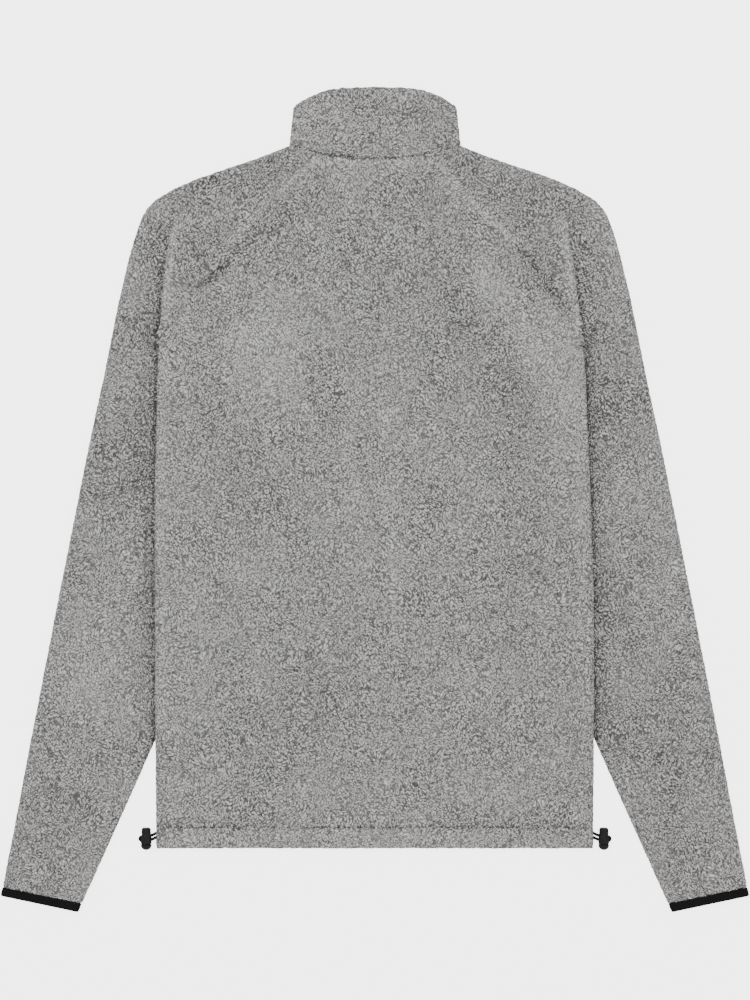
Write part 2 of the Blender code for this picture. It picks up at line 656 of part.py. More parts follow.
def zip_pull():
    """Flat pull tab, hinged across the slider's channel; its origin is on the hinge."""
    reach, half = PULL_OUTLINE["reach"], PULL_OUTLINE["half"]
    outline = [(h, -r) for h, r in zip(half, reach)] + [(-h, -r) for h, r in zip(half[::-1], reach[::-1])]
    work = bmesh.new()
    base = [work.verts.new((x * MM, y * MM, -PULL_THICKNESS / 2.0 * MM)) for x, y in outline]
    face = work.faces.new(base)
    raised = bmesh.ops.extrude_face_region(work, geom=[face])["geom"]
    moved = [v for v in raised if isinstance(v, bmesh.types.BMVert)]
    bmesh.ops.translate(work, verts=moved, vec=(0.0, 0.0, PULL_THICKNESS * MM))
    bmesh.ops.recalc_face_normals(work, faces=work.faces)
    mesh = bpy.data.meshes.new("zip_pull")
    work.to_mesh(mesh)
    work.free()
    pull = add_object("zip_pull", mesh, "metal", rounded=False)
    pull.location = place([0.0, PULL_HINGE_DROP, PULL_HINGE_Z])
    return pull


def turned(name, profile, slot, sides=20):
    """A solid of revolution about the Y axis through a cord lock, from (drop, radius) rows."""
    angles = np.linspace(0.0, 2.0 * math.pi, sides, endpoint=False)
    points = []
    for drop, radius in profile:
        for angle in angles:
            points.append((radius * math.cos(angle), drop, LOCK_Z + radius * math.sin(angle)))
    last = (len(profile) - 1) * sides
    faces = [tuple(range(sides)), tuple(range(last + sides - 1, last - 1, -1))]
    for r in range(len(profile) - 1):
        for k in range(sides):
            n = (k + 1) % sides
            faces.append((r * sides + k, (r + 1) * sides + k, (r + 1) * sides + n, r * sides + n))
    mesh = bpy.data.meshes.new(name)
    mesh.from_pydata(place(points).tolist(), [], faces)
    recalculate(mesh)
    return add_object(name, mesh, slot)


def cord_lock(side):
    """Barrel of the cord lock, with a slot right through it for the two strands."""
    profile = list(zip(LOCK_PROFILE["drop"], LOCK_PROFILE["radius"]))
    barrel = turned("cord_lock_" + side, profile, "plastic")
    sign = -1.0 if side == "left" else 1.0
    barrel.location.x = sign * LOCK_HALF * MM
    slot_half = STRAND_HALF_GAP + CORD_DIAMETER / 2.0 + SLOT_MARGIN
    slot_first, slot_last = CORD_LOCK_DROP - slot_half, CORD_LOCK_DROP + slot_half
    low, high = LOCK_Z - SLOT_HEIGHT / 2.0, LOCK_Z + SLOT_HEIGHT / 2.0
    reach = LOCK_RADIUS + 2.0
    outline = [(-reach, low), (reach, low), (reach, high), (-reach, high)]
    cutter = prism("slot_cutter_" + side, outline, (slot_first, slot_last), "plastic")
    cutter.location.x = sign * LOCK_HALF * MM
    cutter.hide_render = True
    cutter.display_type = 'WIRE'
    cut = barrel.modifiers.new("slot", 'BOOLEAN')
    cut.operation = 'DIFFERENCE'
    cut.object = cutter


def cord_button(side):
    """Round spring button at the end of the cord lock."""
    profile = list(zip(BUTTON_PROFILE["drop"], BUTTON_PROFILE["radius"]))
    button = turned("cord_button_" + side, profile, "plastic")
    button.location.x = (-1.0 if side == "left" else 1.0) * LOCK_HALF * MM


def drawcord(side):
    """The drawcord's loop: out of the hem, slanting down through the lock, round and back."""
    start = float(fold_half(side, CORD_LOCK_DROP)) + HEM_BAND_RISE + CORD_HEM_GAP
    loop_half = LOCK_HALF + LOCK_RADIUS - LOOP_INSET
    near_lock = LOCK_HALF - LOCK_RADIUS - 0.3
    strand = [(start, -CORD_HEM_RISE, CORD_EXIT_Z), (start + 1.6, -CORD_HEM_RISE * 0.75, CORD_EXIT_Z + 0.4),
              (near_lock, -CORD_LOCK_RISE, LOCK_Z - 0.1), (LOCK_HALF, 0.0, LOCK_Z),
              (loop_half, CORD_LOOP_FALL, LOCK_Z)]
    route = [(half, CORD_LOCK_DROP + rise - STRAND_HALF_GAP, z) for half, rise, z in strand]
    for angle in np.radians(np.linspace(-75.0, 75.0, 7)):
        along, beside = math.cos(angle) * STRAND_HALF_GAP, math.sin(angle) * STRAND_HALF_GAP
        route.append((loop_half + along, CORD_LOCK_DROP + CORD_LOOP_FALL + beside, LOCK_Z))
    route += [(half, CORD_LOCK_DROP + rise + STRAND_HALF_GAP, z) for half, rise, z in strand[::-1]]
    points = place(mirror(side, np.array(route)))
    curve = bpy.data.curves.new("drawcord_" + side, 'CURVE')
    curve.dimensions = '3D'
    curve.bevel_depth = CORD_DIAMETER / 2.0 * MM
    curve.bevel_resolution = 2
    curve.use_fill_caps = True
    spline = curve.splines.new('POLY')
    spline.points.add(len(points) - 1)
    for target, point in zip(spline.points, points):
        target.co = (*point, 1.0)
    curve.materials.append(material("cord"))
    cord = bpy.data.objects.new("drawcord_" + side, curve)
    bpy.context.collection.objects.link(cord)


def main():
    for obj in list(bpy.data.objects):
        bpy.data.objects.remove(obj, do_unlink=True)
    back()
    collar()
    for side in ("left", "right"):
        front(side)
        sleeve(side)
        cuff_binding(side)
        zip_tape(side)
        cord_lock(side)
        cord_button(side)
        drawcord(side)
    zip_slider()
    zip_pull()


main()
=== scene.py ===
import math

import bpy
import numpy as np
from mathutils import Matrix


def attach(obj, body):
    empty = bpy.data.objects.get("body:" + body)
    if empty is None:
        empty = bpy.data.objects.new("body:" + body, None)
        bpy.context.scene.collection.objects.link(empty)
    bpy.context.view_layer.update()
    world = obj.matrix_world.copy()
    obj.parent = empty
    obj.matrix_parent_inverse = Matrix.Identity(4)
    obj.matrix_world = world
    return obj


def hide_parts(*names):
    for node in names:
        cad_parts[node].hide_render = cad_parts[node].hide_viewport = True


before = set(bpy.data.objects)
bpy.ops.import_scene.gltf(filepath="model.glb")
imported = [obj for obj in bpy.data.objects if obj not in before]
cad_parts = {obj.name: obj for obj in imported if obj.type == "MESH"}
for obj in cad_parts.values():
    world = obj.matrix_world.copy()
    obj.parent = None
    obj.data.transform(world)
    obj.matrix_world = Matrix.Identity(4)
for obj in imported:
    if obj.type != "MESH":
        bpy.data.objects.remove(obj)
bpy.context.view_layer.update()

MM = 0.001
SIDES = ("left", "right")

# Driving dimensions, millimetres. A `drop` is measured down from the collar's top edge,
# a `half` outwards from the centre line.
TOTAL_LENGTH = 826.0
CLOTH = 3.2
LAYER_PITCH = 4.2
SEAM_LAP = 1.6
SLEEVE_TUCK = 3.0
SLEEVE_TUCK_END = 330.0
BACK_SEAM_INSET = 5.0
FRONT_SEAM_INSET = 0.2
BEND = LAYER_PITCH / 2.0
MIN_WALL_RISE = 0.1
MIN_FOLD_RISE = 0.3
FOLD_TOUCH, FOLD_JOIN_SHARE = 0.01, 0.04
SLEEVE_STACK = 2.0 * LAYER_PITCH
LIFT_RAMP = 46.0
ARMPIT_DROP = 258.5
LOWER_START_DROP = 291.5
HEM_DROP = 762.0
HEM_LINE_DROP = 741.0
HEM_BAND_RISE = 0.5
NECK_HALF = 86.0
NECK_SIDE_DROP = 60.5
BACK_NECK_DROP = 73.0
FRONT_NECK_DROP = 135.5
FRONT_NECK_CURVE = 2.2
ZIP_HALF = 7.3
COLLAR_FRONT_DROP = 73.5
STRIP_WIDTH, STRIP_START_WIDTH = 9.0, 1.0
CREASE_INSET = 4.0
CREASE_MIN_GAP = 3.0
RAMP_SHARES = (0.3, 0.6)
UNDER_START_DROP = 296.0

# Where a change down the garment begins, and over how long it takes place
BACK_RISE = (112.0, 125.0)
FRONT_RISE = (ARMPIT_DROP + 3.0, 30.0)
CREASE_MOVE = (285.0, 30.0)
STRIP_GROWTH = (ARMPIT_DROP, 20.0)

LEVEL_1 = CLOTH / 2.0
LEVEL_2 = LEVEL_1 + LAYER_PITCH
FOLD_INSET = FOLD_Z = LEVEL_1 + BEND
NECK_END = NECK_HALF - FOLD_INSET


def table(columns, rows):
    """A table with named columns, as a dictionary of arrays."""
    values = np.array(rows, dtype=float)
    return {name: values[:, i] for i, name in enumerate(columns.split())}


# Outer edge of the sleeve from the neck over the shoulder to the cuff
SILHOUETTE = table("drop half", [
    (60.5, 86.0), (62.0, 94.0), (65.5, 103.0), (69.5, 113.0), (73.5, 124.5),
    (83.5, 154.5), (93.5, 183.0), (103.5, 204.5), (113.5, 220.5), (123.5, 230.0),
    (133.5, 235.0), (153.5, 241.5), (173.5, 247.0), (213.5, 256.5), (253.5, 264.5),
    (293.5, 272.5), (353.5, 285.5), (433.5, 301.5), (513.5, 317.5), (593.5, 333.0),
    (673.5, 348.5), (753.5, 363.5), (800.5, 372.8), (809.5, 374.8)])
UPPER_OUTER_END = 250.0
LOWER_OUTER_END = 801.0

# Inner edge of the sleeve below the armpit, mostly under the body
SLEEVE_INNER = table("drop half", [
    (300.0, 212.0), (320.0, 200.0), (365.0, 180.0), (435.0, 167.0), (515.0, 172.0),
    (595.0, 196.0), (653.5, 220.0), (700.0, 240.5), (817.5, 293.4), (826.0, 297.0)])

# Side edge of the body, carried up across the sleeve as a fold
FOLD = table("drop left right", [
    (60.0, 186.0, 180.0), (100.0, 196.0, 188.0), (123.5, 200.4, 190.4),
    (151.5, 205.7, 194.7), (186.5, 210.4, 200.0), (221.5, 213.6, 204.0),
    (256.5, 215.7, 207.5), (291.5, 217.3, 210.5), (333.5, 218.0, 211.8),
    (413.5, 220.0, 215.3), (513.5, 219.6, 218.5), (762.0, 219.0, 218.5)])

# Seam between the back and each sleeve, from the neck towards the armpit
BACK_RAGLAN = table("drop left right", [
    (67.0, 60.0, 54.0), (93.5, 88.0, 78.0), (123.5, 116.0, 100.0),
    (158.5, 146.0, 130.0), (198.5, 177.0, 163.0), (231.5, 196.0, 187.0)])

# Seam between each front and its sleeve
FRONT_RAGLAN = table("drop half", [
    (112.8, 50.0), (150.0, 78.0), (190.0, 112.0), (225.0, 152.0), (246.0, 188.0)])

# Top edge of the collar at the back
COLLAR_TOP = table("half drop", [
    (0.0, 0.0), (38.0, 1.2), (47.0, 3.0), (55.0, 5.5), (65.0, 9.5), (73.0, 13.8), (79.0, 18.5)])
COLLAR_SIDE_HALF = 82.0
COLLAR_SIDE_DROP = 25.0
COLLAR_COLUMNS, COLLAR_ROWS = 8, 7

# Rows down the body and the sleeve below the armpit
BODY_DROPS = [258.9, 268.0, 277.0, 286.0, 295.0, 312.0, 335.0, 365.0, 400.0, 440.0, 490.0,
              545.0, 595.0, 625.0, 653.5, 690.0, 720.0, 737.5, HEM_LINE_DROP, 744.5, HEM_DROP]
SLEEVE_DROPS = [258.9, 268.0, 277.0, 286.0, 300.0, 320.0, 342.0, 370.0, 405.0, 445.0, 500.0,
                555.0, 605.0, 653.5, 705.0, 765.0, 817.5]
UPPER_ROWS = 26
NECK_FADE = 0.445
SLEEVE_NECK_FADE = 0.335

# Steps round a bend, under and over the sleeve, and across the flap beyond its fold
TURN_STEPS = 6
UNDER_STEPS = 6
OVER_STEPS = 5
FLAP_STEPS = 5
FOLD_STEPS = 3
EDGE_STEPS = 3
SEARCH_STEPS = 200
SEARCH_RANGE = (24, 150)

# Elastic binding of the cuffs
CUFF_OUTER_DROPS = (801.5, 809.5)
CUFF_INNER_DROPS = (817.9, 826.0)
CUFF_CLOTH = 3.4
CUFF_PROUD = 0.32
CUFF_STEPS = 8
CUFF_SPACING = 0.8
CUFF_CROWN = 0.5
CUFF_RIBS = (0.14, 1.9)
CUFF_STITCH = (-0.25, 0.22, 0.06)
CUFF_INNER_SINK = 0.4

# Zip coil: a tooth's rings are (share of its height, share of its size), from its face to its foot
TAPE_BOTTOM = 1.2
SLIDER_BOTTOM_DROP = 85.0
TOOTH_PITCH = 2.6
TOOTH_RINGS = [(0.0, 0.6), (0.25, 0.95), (0.6, 1.0), (1.0, 0.8)]
TOOTH_HALF = (1.15, 0.86)
TOOTH_CENTRE = 1.35
TOOTH_FOOT = TAPE_BOTTOM + 0.2
TOOTH_FACE, TOOTH_FACE_UNDER_PULL = 0.3, 0.94
TOOTH_SIDES = 8
TEETH_CLEAR = (1.2, 3.0)
PULL_END_DROP = 109.5

# Cord locks and the drawcord's loops
LOCK_HALF = 229.0
LOCK_RADIUS = 5.6
LOCK_Z = LOCK_RADIUS + 0.1
CORD_DIAMETER = 3.0
STRAND_HALF_GAP = 2.1
CORD_LOCK_DROP = 752.0
CORD_HEM_SINK = 0.9
CORD_HEM_RISE = 3.1
CORD_LOCK_RISE = 0.9
CORD_LOOP_FALL = 0.5
CORD_EXIT_Z = 4.2
LOOP_INSET = 1.3

# Pile: its height over the cloth, how deep its foot sinks, and how it thins at a cut edge
TUFT_SIZE = 4.8
TUFT_WARPS = [(1.6, 11.0), (3.0, 37.0)]
TUFT_STRETCH = (0.72, 1.3)
TUFT_GAP, TUFT_DOME, TUFT_EDGE = 0.42, 1.15, 0.45
FINE_TUFT, FINE_SHARE = 0.55, 0.15
PILE_HEIGHT = 1.25
PILE_SINK = 0.5
PILE_EDGE = (0.55, 0.9)
PILE_ON_RIM, PILE_ON_SIDE = 0.35, 0.45
UNDERSIDE_SHIFT = 611.0
RAGGED, RAGGED_SIZE = 0.6, 2.6
CLOTH_INNER_SINK = 0.3
TABLE_CLEAR = 0.05
BACK_SPACING = 2.3
SLEEVE_SPACING = 2.0
COLLAR_SPACING = 1.8
UNDER_SPACING = 3.2
UPPER_LAYER_Z = 5.0
SLEEVE_BACK_Z = 3.0

# Colour of the fleece: a mean grey, and how far curls, single fibres and tufts leave it; curls and tufts
# give painted shade in the gaps between tufts and painted light on their tips
FLEECE_GREY = 0.37
CURL_LAYERS = [(-42.0, (0.8, 1.45, 1.0), 480.0), (34.0, (0.82, 1.4, 1.0), 480.0)]
CURL_RANDOMNESS = 0.68
CURL_WARPS = [(38.0, 0.020), (190.0, 0.0032)]
CURL_REACH = (0.12, 0.62)
CURL_LEVEL = 0.69
CURL_WEIGHT = (0.42, 0.57)
SPECK = 0.2
# Painted shade in the gaps between the mesh's tufts and painted light on their tips
PILE_SHADE = 0.03
PATCH_SHADE = 0.02
FLEECE_SHADES = (0.16, 0.52, 1.0, 1.6, 2.3)

# Creases of the back: depth, width, points along it as (x, drop)
BACK_CREASES = [
    (-1.6, 12.0, [(-89.0, 131.0), (-110.0, 160.0), (-168.0, 203.0)]),
    (-1.6, 12.0, [(77.0, 118.0), (87.0, 130.0), (117.0, 155.0), (135.0, 170.0)]),
    (1.2, 26.0, [(95.0, 193.0), (140.0, 250.0), (185.0, 315.0)]),
    (-1.0, 22.0, [(118.0, 290.0), (140.0, 318.0)]),
    (1.3, 34.0, [(-105.0, 262.0), (-92.0, 280.0)]),
    (-0.8, 7.0, [(145.0, 344.0), (182.0, 350.0)]),
    (-0.7, 7.0, [(150.0, 372.0), (192.0, 366.0)]),
    (-0.7, 8.0, [(-190.0, 330.0), (-150.0, 338.0)]),
    (0.8, 14.0, [(-18.0, 360.0), (-12.0, 470.0), (-20.0, 610.0)]),
    (0.7, 12.0, [(6.0, 380.0), (3.0, 520.0)]),
    (-0.7, 10.0, [(-120.0, 520.0), (-70.0, 560.0), (-30.0, 570.0)]),
    (-0.6, 10.0, [(60.0, 600.0), (110.0, 580.0), (170.0, 590.0)]),
]
HEM_GROOVE = (-1.1, 1.6)
HEM_PUCKER_REACH = 12.0
SEAM_RIDGE = (0.8, 7.0, [(68.0, 70.0), (92.0, 96.0), (122.0, 130.0)])

# Painted light (+) and painted shade (-) on the pile, standing in for the light and shade on its seams,
# creases, folds and edges: value, width, points along it as (x, drop)
SEAM_PAINTED_SHADE = [
    (0.17, 3.0, [(-62.0, 76.0), (-85.0, 93.5), (-125.0, 133.5), (-170.0, 188.5)]),
    (-0.1, 10.0, [(-85.0, 127.0), (-113.0, 146.0), (-135.0, 161.0), (-160.0, 184.0)]),
    (-0.2, 4.0, [(-150.0, 178.0), (-176.0, 200.0)]),
    (0.17, 3.0, [(65.0, 78.5), (95.0, 113.5), (145.0, 160.0)]),
    (-0.2, 4.5, [(143.0, 160.0), (168.0, 190.0), (190.0, 223.5)]),
    (-0.07, 10.0, [(52.0, 100.0), (64.0, 116.0)]),
]
BACK_PAINTED_SHADE = [
    (0.08, 4.0, [(-66.0, 74.0), (-30.0, 75.5), (0.0, 75.0), (30.0, 76.0), (64.0, 74.0)]),
    (0.06, 9.0, [(-40.0, 90.0), (30.0, 84.0)]),
    (0.13, 42.0, [(-108.0, 262.0), (-96.0, 290.0)]),
    (0.11, 18.0, [(105.0, 188.0), (145.0, 243.0), (195.0, 313.0)]),
    (0.06, 12.0, [(170.0, 215.0), (196.0, 262.0)]),
    (-0.06, 24.0, [(66.0, 170.0), (92.0, 240.0), (130.0, 300.0)]),
    (-0.05, 22.0, [(-60.0, 298.0), (-30.0, 330.0)]),
    (0.06, 5.0, [(-209.0, 262.0), (-212.0, 420.0), (-213.0, 640.0)]),
    (0.05, 5.0, [(201.0, 262.0), (206.0, 420.0), (210.0, 640.0)]),
    (0.06, 9.0, [(-25.0, 294.0), (-24.0, 410.0)]),
    (0.06, 9.0, [(12.0, 330.0), (18.0, 480.0), (14.0, 555.0)]),
    (-0.05, 26.0, [(140.0, 300.0), (160.0, 480.0)]),
    (-0.04, 30.0, [(-160.0, 320.0), (-120.0, 380.0)]),
    (0.05, 24.0, [(-130.0, 470.0), (-100.0, 500.0)]),
    (-0.04, 30.0, [(-100.0, 650.0), (-60.0, 620.0)]),
]
SLEEVE_PAINTED_SHADE = [
    (0.07, 32.0, [(-286.0, 560.0), (-290.0, 600.0)]),
    (-0.05, 30.0, [(-320.0, 735.0), (-300.0, 760.0)]),
    (-0.05, 26.0, [(-225.0, 300.0), (-262.0, 400.0)]),
    (-0.05, 30.0, [(240.0, 300.0), (252.0, 350.0)]),
    (-0.06, 26.0, [(238.0, 520.0), (262.0, 548.0)]),
    (0.05, 18.0, [(284.0, 500.0), (296.0, 530.0)]),
    (-0.05, 30.0, [(300.0, 690.0), (270.0, 640.0)]),
    (0.05, 9.0, [(-212.0, 125.0), (-224.0, 120.0)]),
    (0.05, 9.0, [(216.0, 122.0), (238.0, 160.0)]),
]
# The same on both shoulders, as (half, drop)
SHOULDER_PAINTED_SHADE = [
    (-0.06, 20.0, [(180.0, 112.0), (135.0, 100.0), (95.0, 88.0)]),
    (-0.05, 20.0, [(150.0, 135.0), (172.0, 165.0)]),
]
COLLAR_PAINTED_SHADE = [
    (0.06, 16.0, [(-70.0, 30.0), (-30.0, 42.0)]),
    (-0.07, 12.0, [(0.0, 22.0), (40.0, 30.0)]),
]
# Paler below the hem's stitched line, painted shade in its groove, and painted shade in the collar's neck
# seam
HEM_BAND_PALER, GROOVE_PAINTED_SHADE = 0.05, (-0.2, 1.8)
COLLAR_SEAM_PAINTED_SHADE = (-0.32, 2.2)

# Painted shadow, a line of painted shade and a painted highlight on the pile beside the body's fold,
# standing in for the shade the raised body casts on the sleeve and the light on the fold's rim: value, how
# far outside the fold (minus is inside), width
FOLD_PAINTED_SHADOW = (-0.12, 0.0, 17.0)
FOLD_LINE_PAINTED_SHADE = (-0.15, 2.0, 2.6)
FOLD_RIM_PAINTED_HIGHLIGHT = (0.07, -5.0, 4.0)
SHOULDER_RIM_HIGHLIGHT_GAIN = 0.1
FOLD_SHADE_START, FOLD_SHADE_END = (118.0, 30.0), (650.0, 40.0)
FOLD_LINE_START, SHOULDER_RIM_END = (130.0, 90.0), (170.0, 90.0)
FOLD_SHADOW_START = (-1.0, 1.5)

# Uneven patches: how much, how wide, and the seed of their draws; those of the pile's colour drift its
# painted light and shade, and one makes the painted shade of the hem's groove uneven
DRIFTS = {"back_relief": (0.35, 48.0, 31), "hem_pucker": (0.3, 9.0, 32), "collar_relief": (0.3, 45.0, 40),
          "sleeve_left": (0.4, 52.0, 32), "sleeve_right": (0.4, 52.0, 34), "back_painted_shade": (0.022, 60.0, 61),
          "groove_shade_waver": (0.4, 8.0, 62), "sleeve_painted_shade": (0.028, 42.0, 63), "collar_painted_shade": (0.04, 22.0, 66),
          "collar_waver": (1.2, 7.0, 67)}

# Finish of each part from model.glb that stays in the scene
NODE_FINISH = {"zip_tape_left": "tape", "zip_tape_right": "tape", "zip_slider": "metal", "zip_pull": "metal",
               "cord_lock_left": "plastic", "cord_lock_right": "plastic",
               "cord_button_left": "plastic", "cord_button_right": "plastic"}

# Studio, metres: a picture 1 metre high of the plane just over the jacket, seen from straight above
LENS = 90.0
SENSOR = 36.0
PICTURE_HEIGHT = 1.0
PICTURE_CENTRE_Y = -0.0005
PLANE_HEIGHT = 0.008
TABLE_HALF, TABLE_Z = 6.0, -0.0004
WORLD_LIGHT = 0.8
TABLE_GLOW = 3.6
SOFTBOXES = [("softbox_high", (-0.9, 1.3, 2.4), (1.6, 1.6), 26.0),
             ("softbox_low", (1.4, -0.8, 2.2), (2.0, 2.0), 8.0)]


def smooth(value):
    """Smoothstep from 0 to 1."""
    value = np.clip(value, 0.0, 1.0)
    return value * value * (3.0 - 2.0 * value)


def ease(value, start, length):
    """0 before the start, 1 once the length is over, and a smoothstep between."""
    return smooth((np.asarray(value) - start) / length)


def bell(distance, width):
    """1 at no distance, and less away from it: the normal curve of that width."""
    return np.exp(-(distance / width) ** 2)


def place(points):
    """Millimetres with `drop` as the second value, to metres in the world."""
    world = np.array(points, dtype=float)
    world[..., 1] = TOTAL_LENGTH / 2.0 - world[..., 1]
    return world * MM


def at(curve, column, drop):
    """Value of a table's column at a drop."""
    return np.interp(drop, curve["drop"], curve[column])


def fold_half(side, drop):
    """Half width of the body's side edge, and above the armpit of the fold across the sleeve."""
    return at(FOLD, side, drop)


def inner_half(side, drop):
    """Inner edge of the sleeve: tucked in along the body's edge first, then well under the body."""
    drop = np.asarray(drop)
    tucked = fold_half(side, drop) - SLEEVE_TUCK
    under = at(SLEEVE_INNER, "half", drop)
    under = np.where(drop < SLEEVE_TUCK_END, np.minimum(under, tucked), under)
    return np.where(drop <= LOWER_START_DROP, tucked, under)


def crease_half(side, drop):
    """Half width beyond which the body lies at full height over the sleeve."""
    below = inner_half(side, np.maximum(drop, UNDER_START_DROP)) - CREASE_INSET
    above = fold_half(side, drop) - CREASE_INSET
    return above + (below - above) * ease(drop, *CREASE_MOVE)


def back_lift(side, half, drop):
    """How far the back is raised where it lies over the sleeve."""
    ramp = smooth((half - crease_half(side, drop) + LIFT_RAMP) / LIFT_RAMP)
    return SLEEVE_STACK * ramp * ease(drop, *BACK_RISE)


def front_lift(side, half, drop):
    """How far a front is raised: from nothing at the armpit."""
    return back_lift(side, half, drop) * ease(drop, *FRONT_RISE)


def resample(drops, halves, count):
    """Points at equal steps along a curve, as (half, drop) rows."""
    curve = np.stack([halves, drops], axis=1)
    steps = np.concatenate([[0.0], np.cumsum(np.linalg.norm(np.diff(curve, axis=0), axis=1))])
    wanted = np.linspace(0.0, steps[-1], count)
    return np.stack([np.interp(wanted, steps, curve[:, i]) for i in (0, 1)], axis=1)


def seam_rows(curve, column, neck, end_half, count):
    """Points along a raglan seam, from the neckline to the armpit."""
    drops = np.append(curve["drop"], ARMPIT_DROP)
    drops[0] = neck(curve[column][0])
    halves = np.append(curve[column], end_half)
    return resample(drops, halves, count)


def back_seam(side):
    """Rows of the seam between the back and a sleeve."""
    end_half = fold_half(side, ARMPIT_DROP) - BACK_SEAM_INSET
    return seam_rows(BACK_RAGLAN, side, back_neck_drop, end_half, UPPER_ROWS + 1)


def front_seam(side):
    """Rows of the seam between a front and its sleeve."""
    end_half = fold_half(side, ARMPIT_DROP) - FRONT_SEAM_INSET
    return seam_rows(FRONT_RAGLAN, "half", front_neck_drop, end_half, UPPER_ROWS + 1)


def back_neck_drop(half):
    """Neckline of the back: a parabola, deepest on the centre line."""
    sag = BACK_NECK_DROP - NECK_SIDE_DROP
    return BACK_NECK_DROP - sag * (np.asarray(half) / NECK_END) ** 2


def front_neck_drop(half):
    """Neckline of the fronts: a deeper, fuller curve of the same kind."""
    depth = FRONT_NECK_DROP - NECK_SIDE_DROP
    share = np.clip(np.asarray(half) / NECK_END, 0.0, 1.0)
    return FRONT_NECK_DROP - depth * share ** FRONT_NECK_CURVE


def outward(points):
    """Unit normals of a (half, drop) curve that runs down the garment, away from the centre."""
    run = np.gradient(points, axis=0)
    normal = np.stack([run[:, 1], -run[:, 0]], axis=1)
    return normal / np.linalg.norm(normal, axis=1, keepdims=True)


def flat(points, height):
    """Give (half, drop) points a height."""
    heights = np.broadcast_to(height, points.shape[:-1])
    return np.concatenate([points, heights[..., None]], axis=-1)


def bend(centre, direction, middle_z, radius, start, stop, steps):
    """Points of an arc that turns in the plane of `direction` and Z, angles in degrees."""
    angles = np.radians(np.linspace(start, stop, steps + 1))
    plan = centre + np.outer(np.cos(angles), direction) * radius
    return np.concatenate([plan, (middle_z + radius * np.sin(angles))[:, None]], axis=1)


def straight(first, last, steps):
    """Points at even steps from the first to the last."""
    share = np.linspace(0.0, 1.0, steps + 1)[:, None]
    return np.asarray(first) + (np.asarray(last) - np.asarray(first)) * share


def fold_step(edge, inboard, rise, steps=FOLD_STEPS):
    """Section of the fold: up from the lower layer and over, with round corners.

    `edge` is the fold's outer face, `inboard` the plan direction to the seam.
    """
    turn = math.acos(max(0.0, 1.0 - rise / (2.0 * BEND)))
    wall = edge + inboard * LEVEL_1
    angles = np.linspace(0.0, turn, steps + 1)
    run = BEND * (math.sin(turn) - np.sin(angles))
    height = BEND * (1.0 - np.cos(angles))
    lower = flat(wall - np.outer(run, inboard), LEVEL_2 + height)
    upper = flat(wall + np.outer(run[::-1], inboard), LEVEL_2 + rise - height[::-1])
    if rise <= 2.0 * BEND + FOLD_TOUCH:
        middle = (lower[-1] + upper[0]) / 2.0
        apart = (upper[1] - lower[-2]) * FOLD_JOIN_SHARE
        lower[-1] = middle - apart
        upper[0] = middle + apart
    return np.concatenate([lower, upper])


def sign_of(side):
    """-1 on the left and 1 on the right."""
    return -1.0 if side == "left" else 1.0


def mirror(side, middle):
    """Points in (half, drop, height) to signed x."""
    signed = np.array(middle)
    signed[..., 0] *= sign_of(side)
    return signed


def handed(side, middle, keep):
    """The grid on its own side, its columns turned round on the right, so that its normals face out."""
    grid = mirror(side, middle)
    return (grid[:, ::-1], keep[:, ::-1]) if side == "right" else (grid, keep)


def all_cells(middle):
    """A keep-mask for a grid that keeps every cell."""
    return np.ones((middle.shape[0] - 1, middle.shape[1] - 1), dtype=bool)


def sleeve_edges(side):
    """Outer, back-seam, front-seam and inner points of the rows, from the neck to the cuff."""
    upper = SILHOUETTE["drop"] < UPPER_OUTER_END
    top_drop = np.append(SILHOUETTE["drop"][upper], UPPER_OUTER_END)
    top_half = np.append(SILHOUETTE["half"][upper], at(SILHOUETTE, "half", UPPER_OUTER_END))
    outer_upper = resample(top_drop, top_half, UPPER_ROWS + 1)
    back, front = back_seam(side), front_seam(side)
    front[-1, 0] += BEND - SEAM_LAP
    inner_drop = np.array(SLEEVE_DROPS)
    outer_drop = np.interp(inner_drop, [ARMPIT_DROP, SLEEVE_DROPS[-1]], [UPPER_OUTER_END, LOWER_OUTER_END])
    outer_lower = np.stack([at(SILHOUETTE, "half", outer_drop), outer_drop], axis=1)
    inner = np.stack([inner_half(side, inner_drop), inner_drop], axis=1)
    return np.concatenate([outer_upper, outer_lower]), back, front, inner


def neck_row(first, last, neck, weight, steps):
    """A row between two plan points that follows the neckline by `weight`."""
    row = straight(first, last, steps)
    curve = neck(row[:, 0])
    chord = curve[0] + (curve[-1] - curve[0]) * np.linspace(0.0, 1.0, steps + 1)
    row[:, 1] += (curve - chord) * weight
    return row


def upper_sleeve_row(side, point, back, front, inboard, weight):
    """Parts of a row above the armpit: seam turn, under layer, over layer, fold and flap to the back seam.

    `inboard` is the way in plan in which the fold's step lies.
    """
    wrap = bend(front, np.array([1.0, 0.0]), FOLD_Z, BEND, 90, 270, TURN_STEPS)
    below = neck_row(front, point, front_neck_drop, weight, UNDER_STEPS)
    whole = straight(point, back, SEARCH_STEPS)
    inside = np.nonzero(whole[:, 0] <= fold_half(side, whole[:, 1]))[0]
    edge = whole[min(max(inside[0], SEARCH_RANGE[0]), SEARCH_RANGE[1])]
    rise = max(MIN_FOLD_RISE, float(back_lift(side, edge[0], edge[1])))
    step = fold_step(edge, inboard / np.linalg.norm(inboard), rise)
    above = straight(point, step[0, :2], OVER_STEPS)
    return wrap, below, above, step, straight(step[-1, :2], back, FLAP_STEPS)


def lower_sleeve_row(point, lap, out):
    """The same parts below the armpit, where the tube closes on itself and has no flap."""
    seam = lap + out * SEAM_LAP
    wrap = bend(seam, -out, FOLD_Z, BEND, 90, -90, TURN_STEPS)
    below = straight(seam, point, UNDER_STEPS)
    above = straight(point, lap, OVER_STEPS)
    step = flat(np.tile(above[-1], (2 * FOLD_STEPS + 2, 1)), LEVEL_2)
    return wrap, below, above, step, np.tile(above[-1], (FLAP_STEPS + 1, 1))


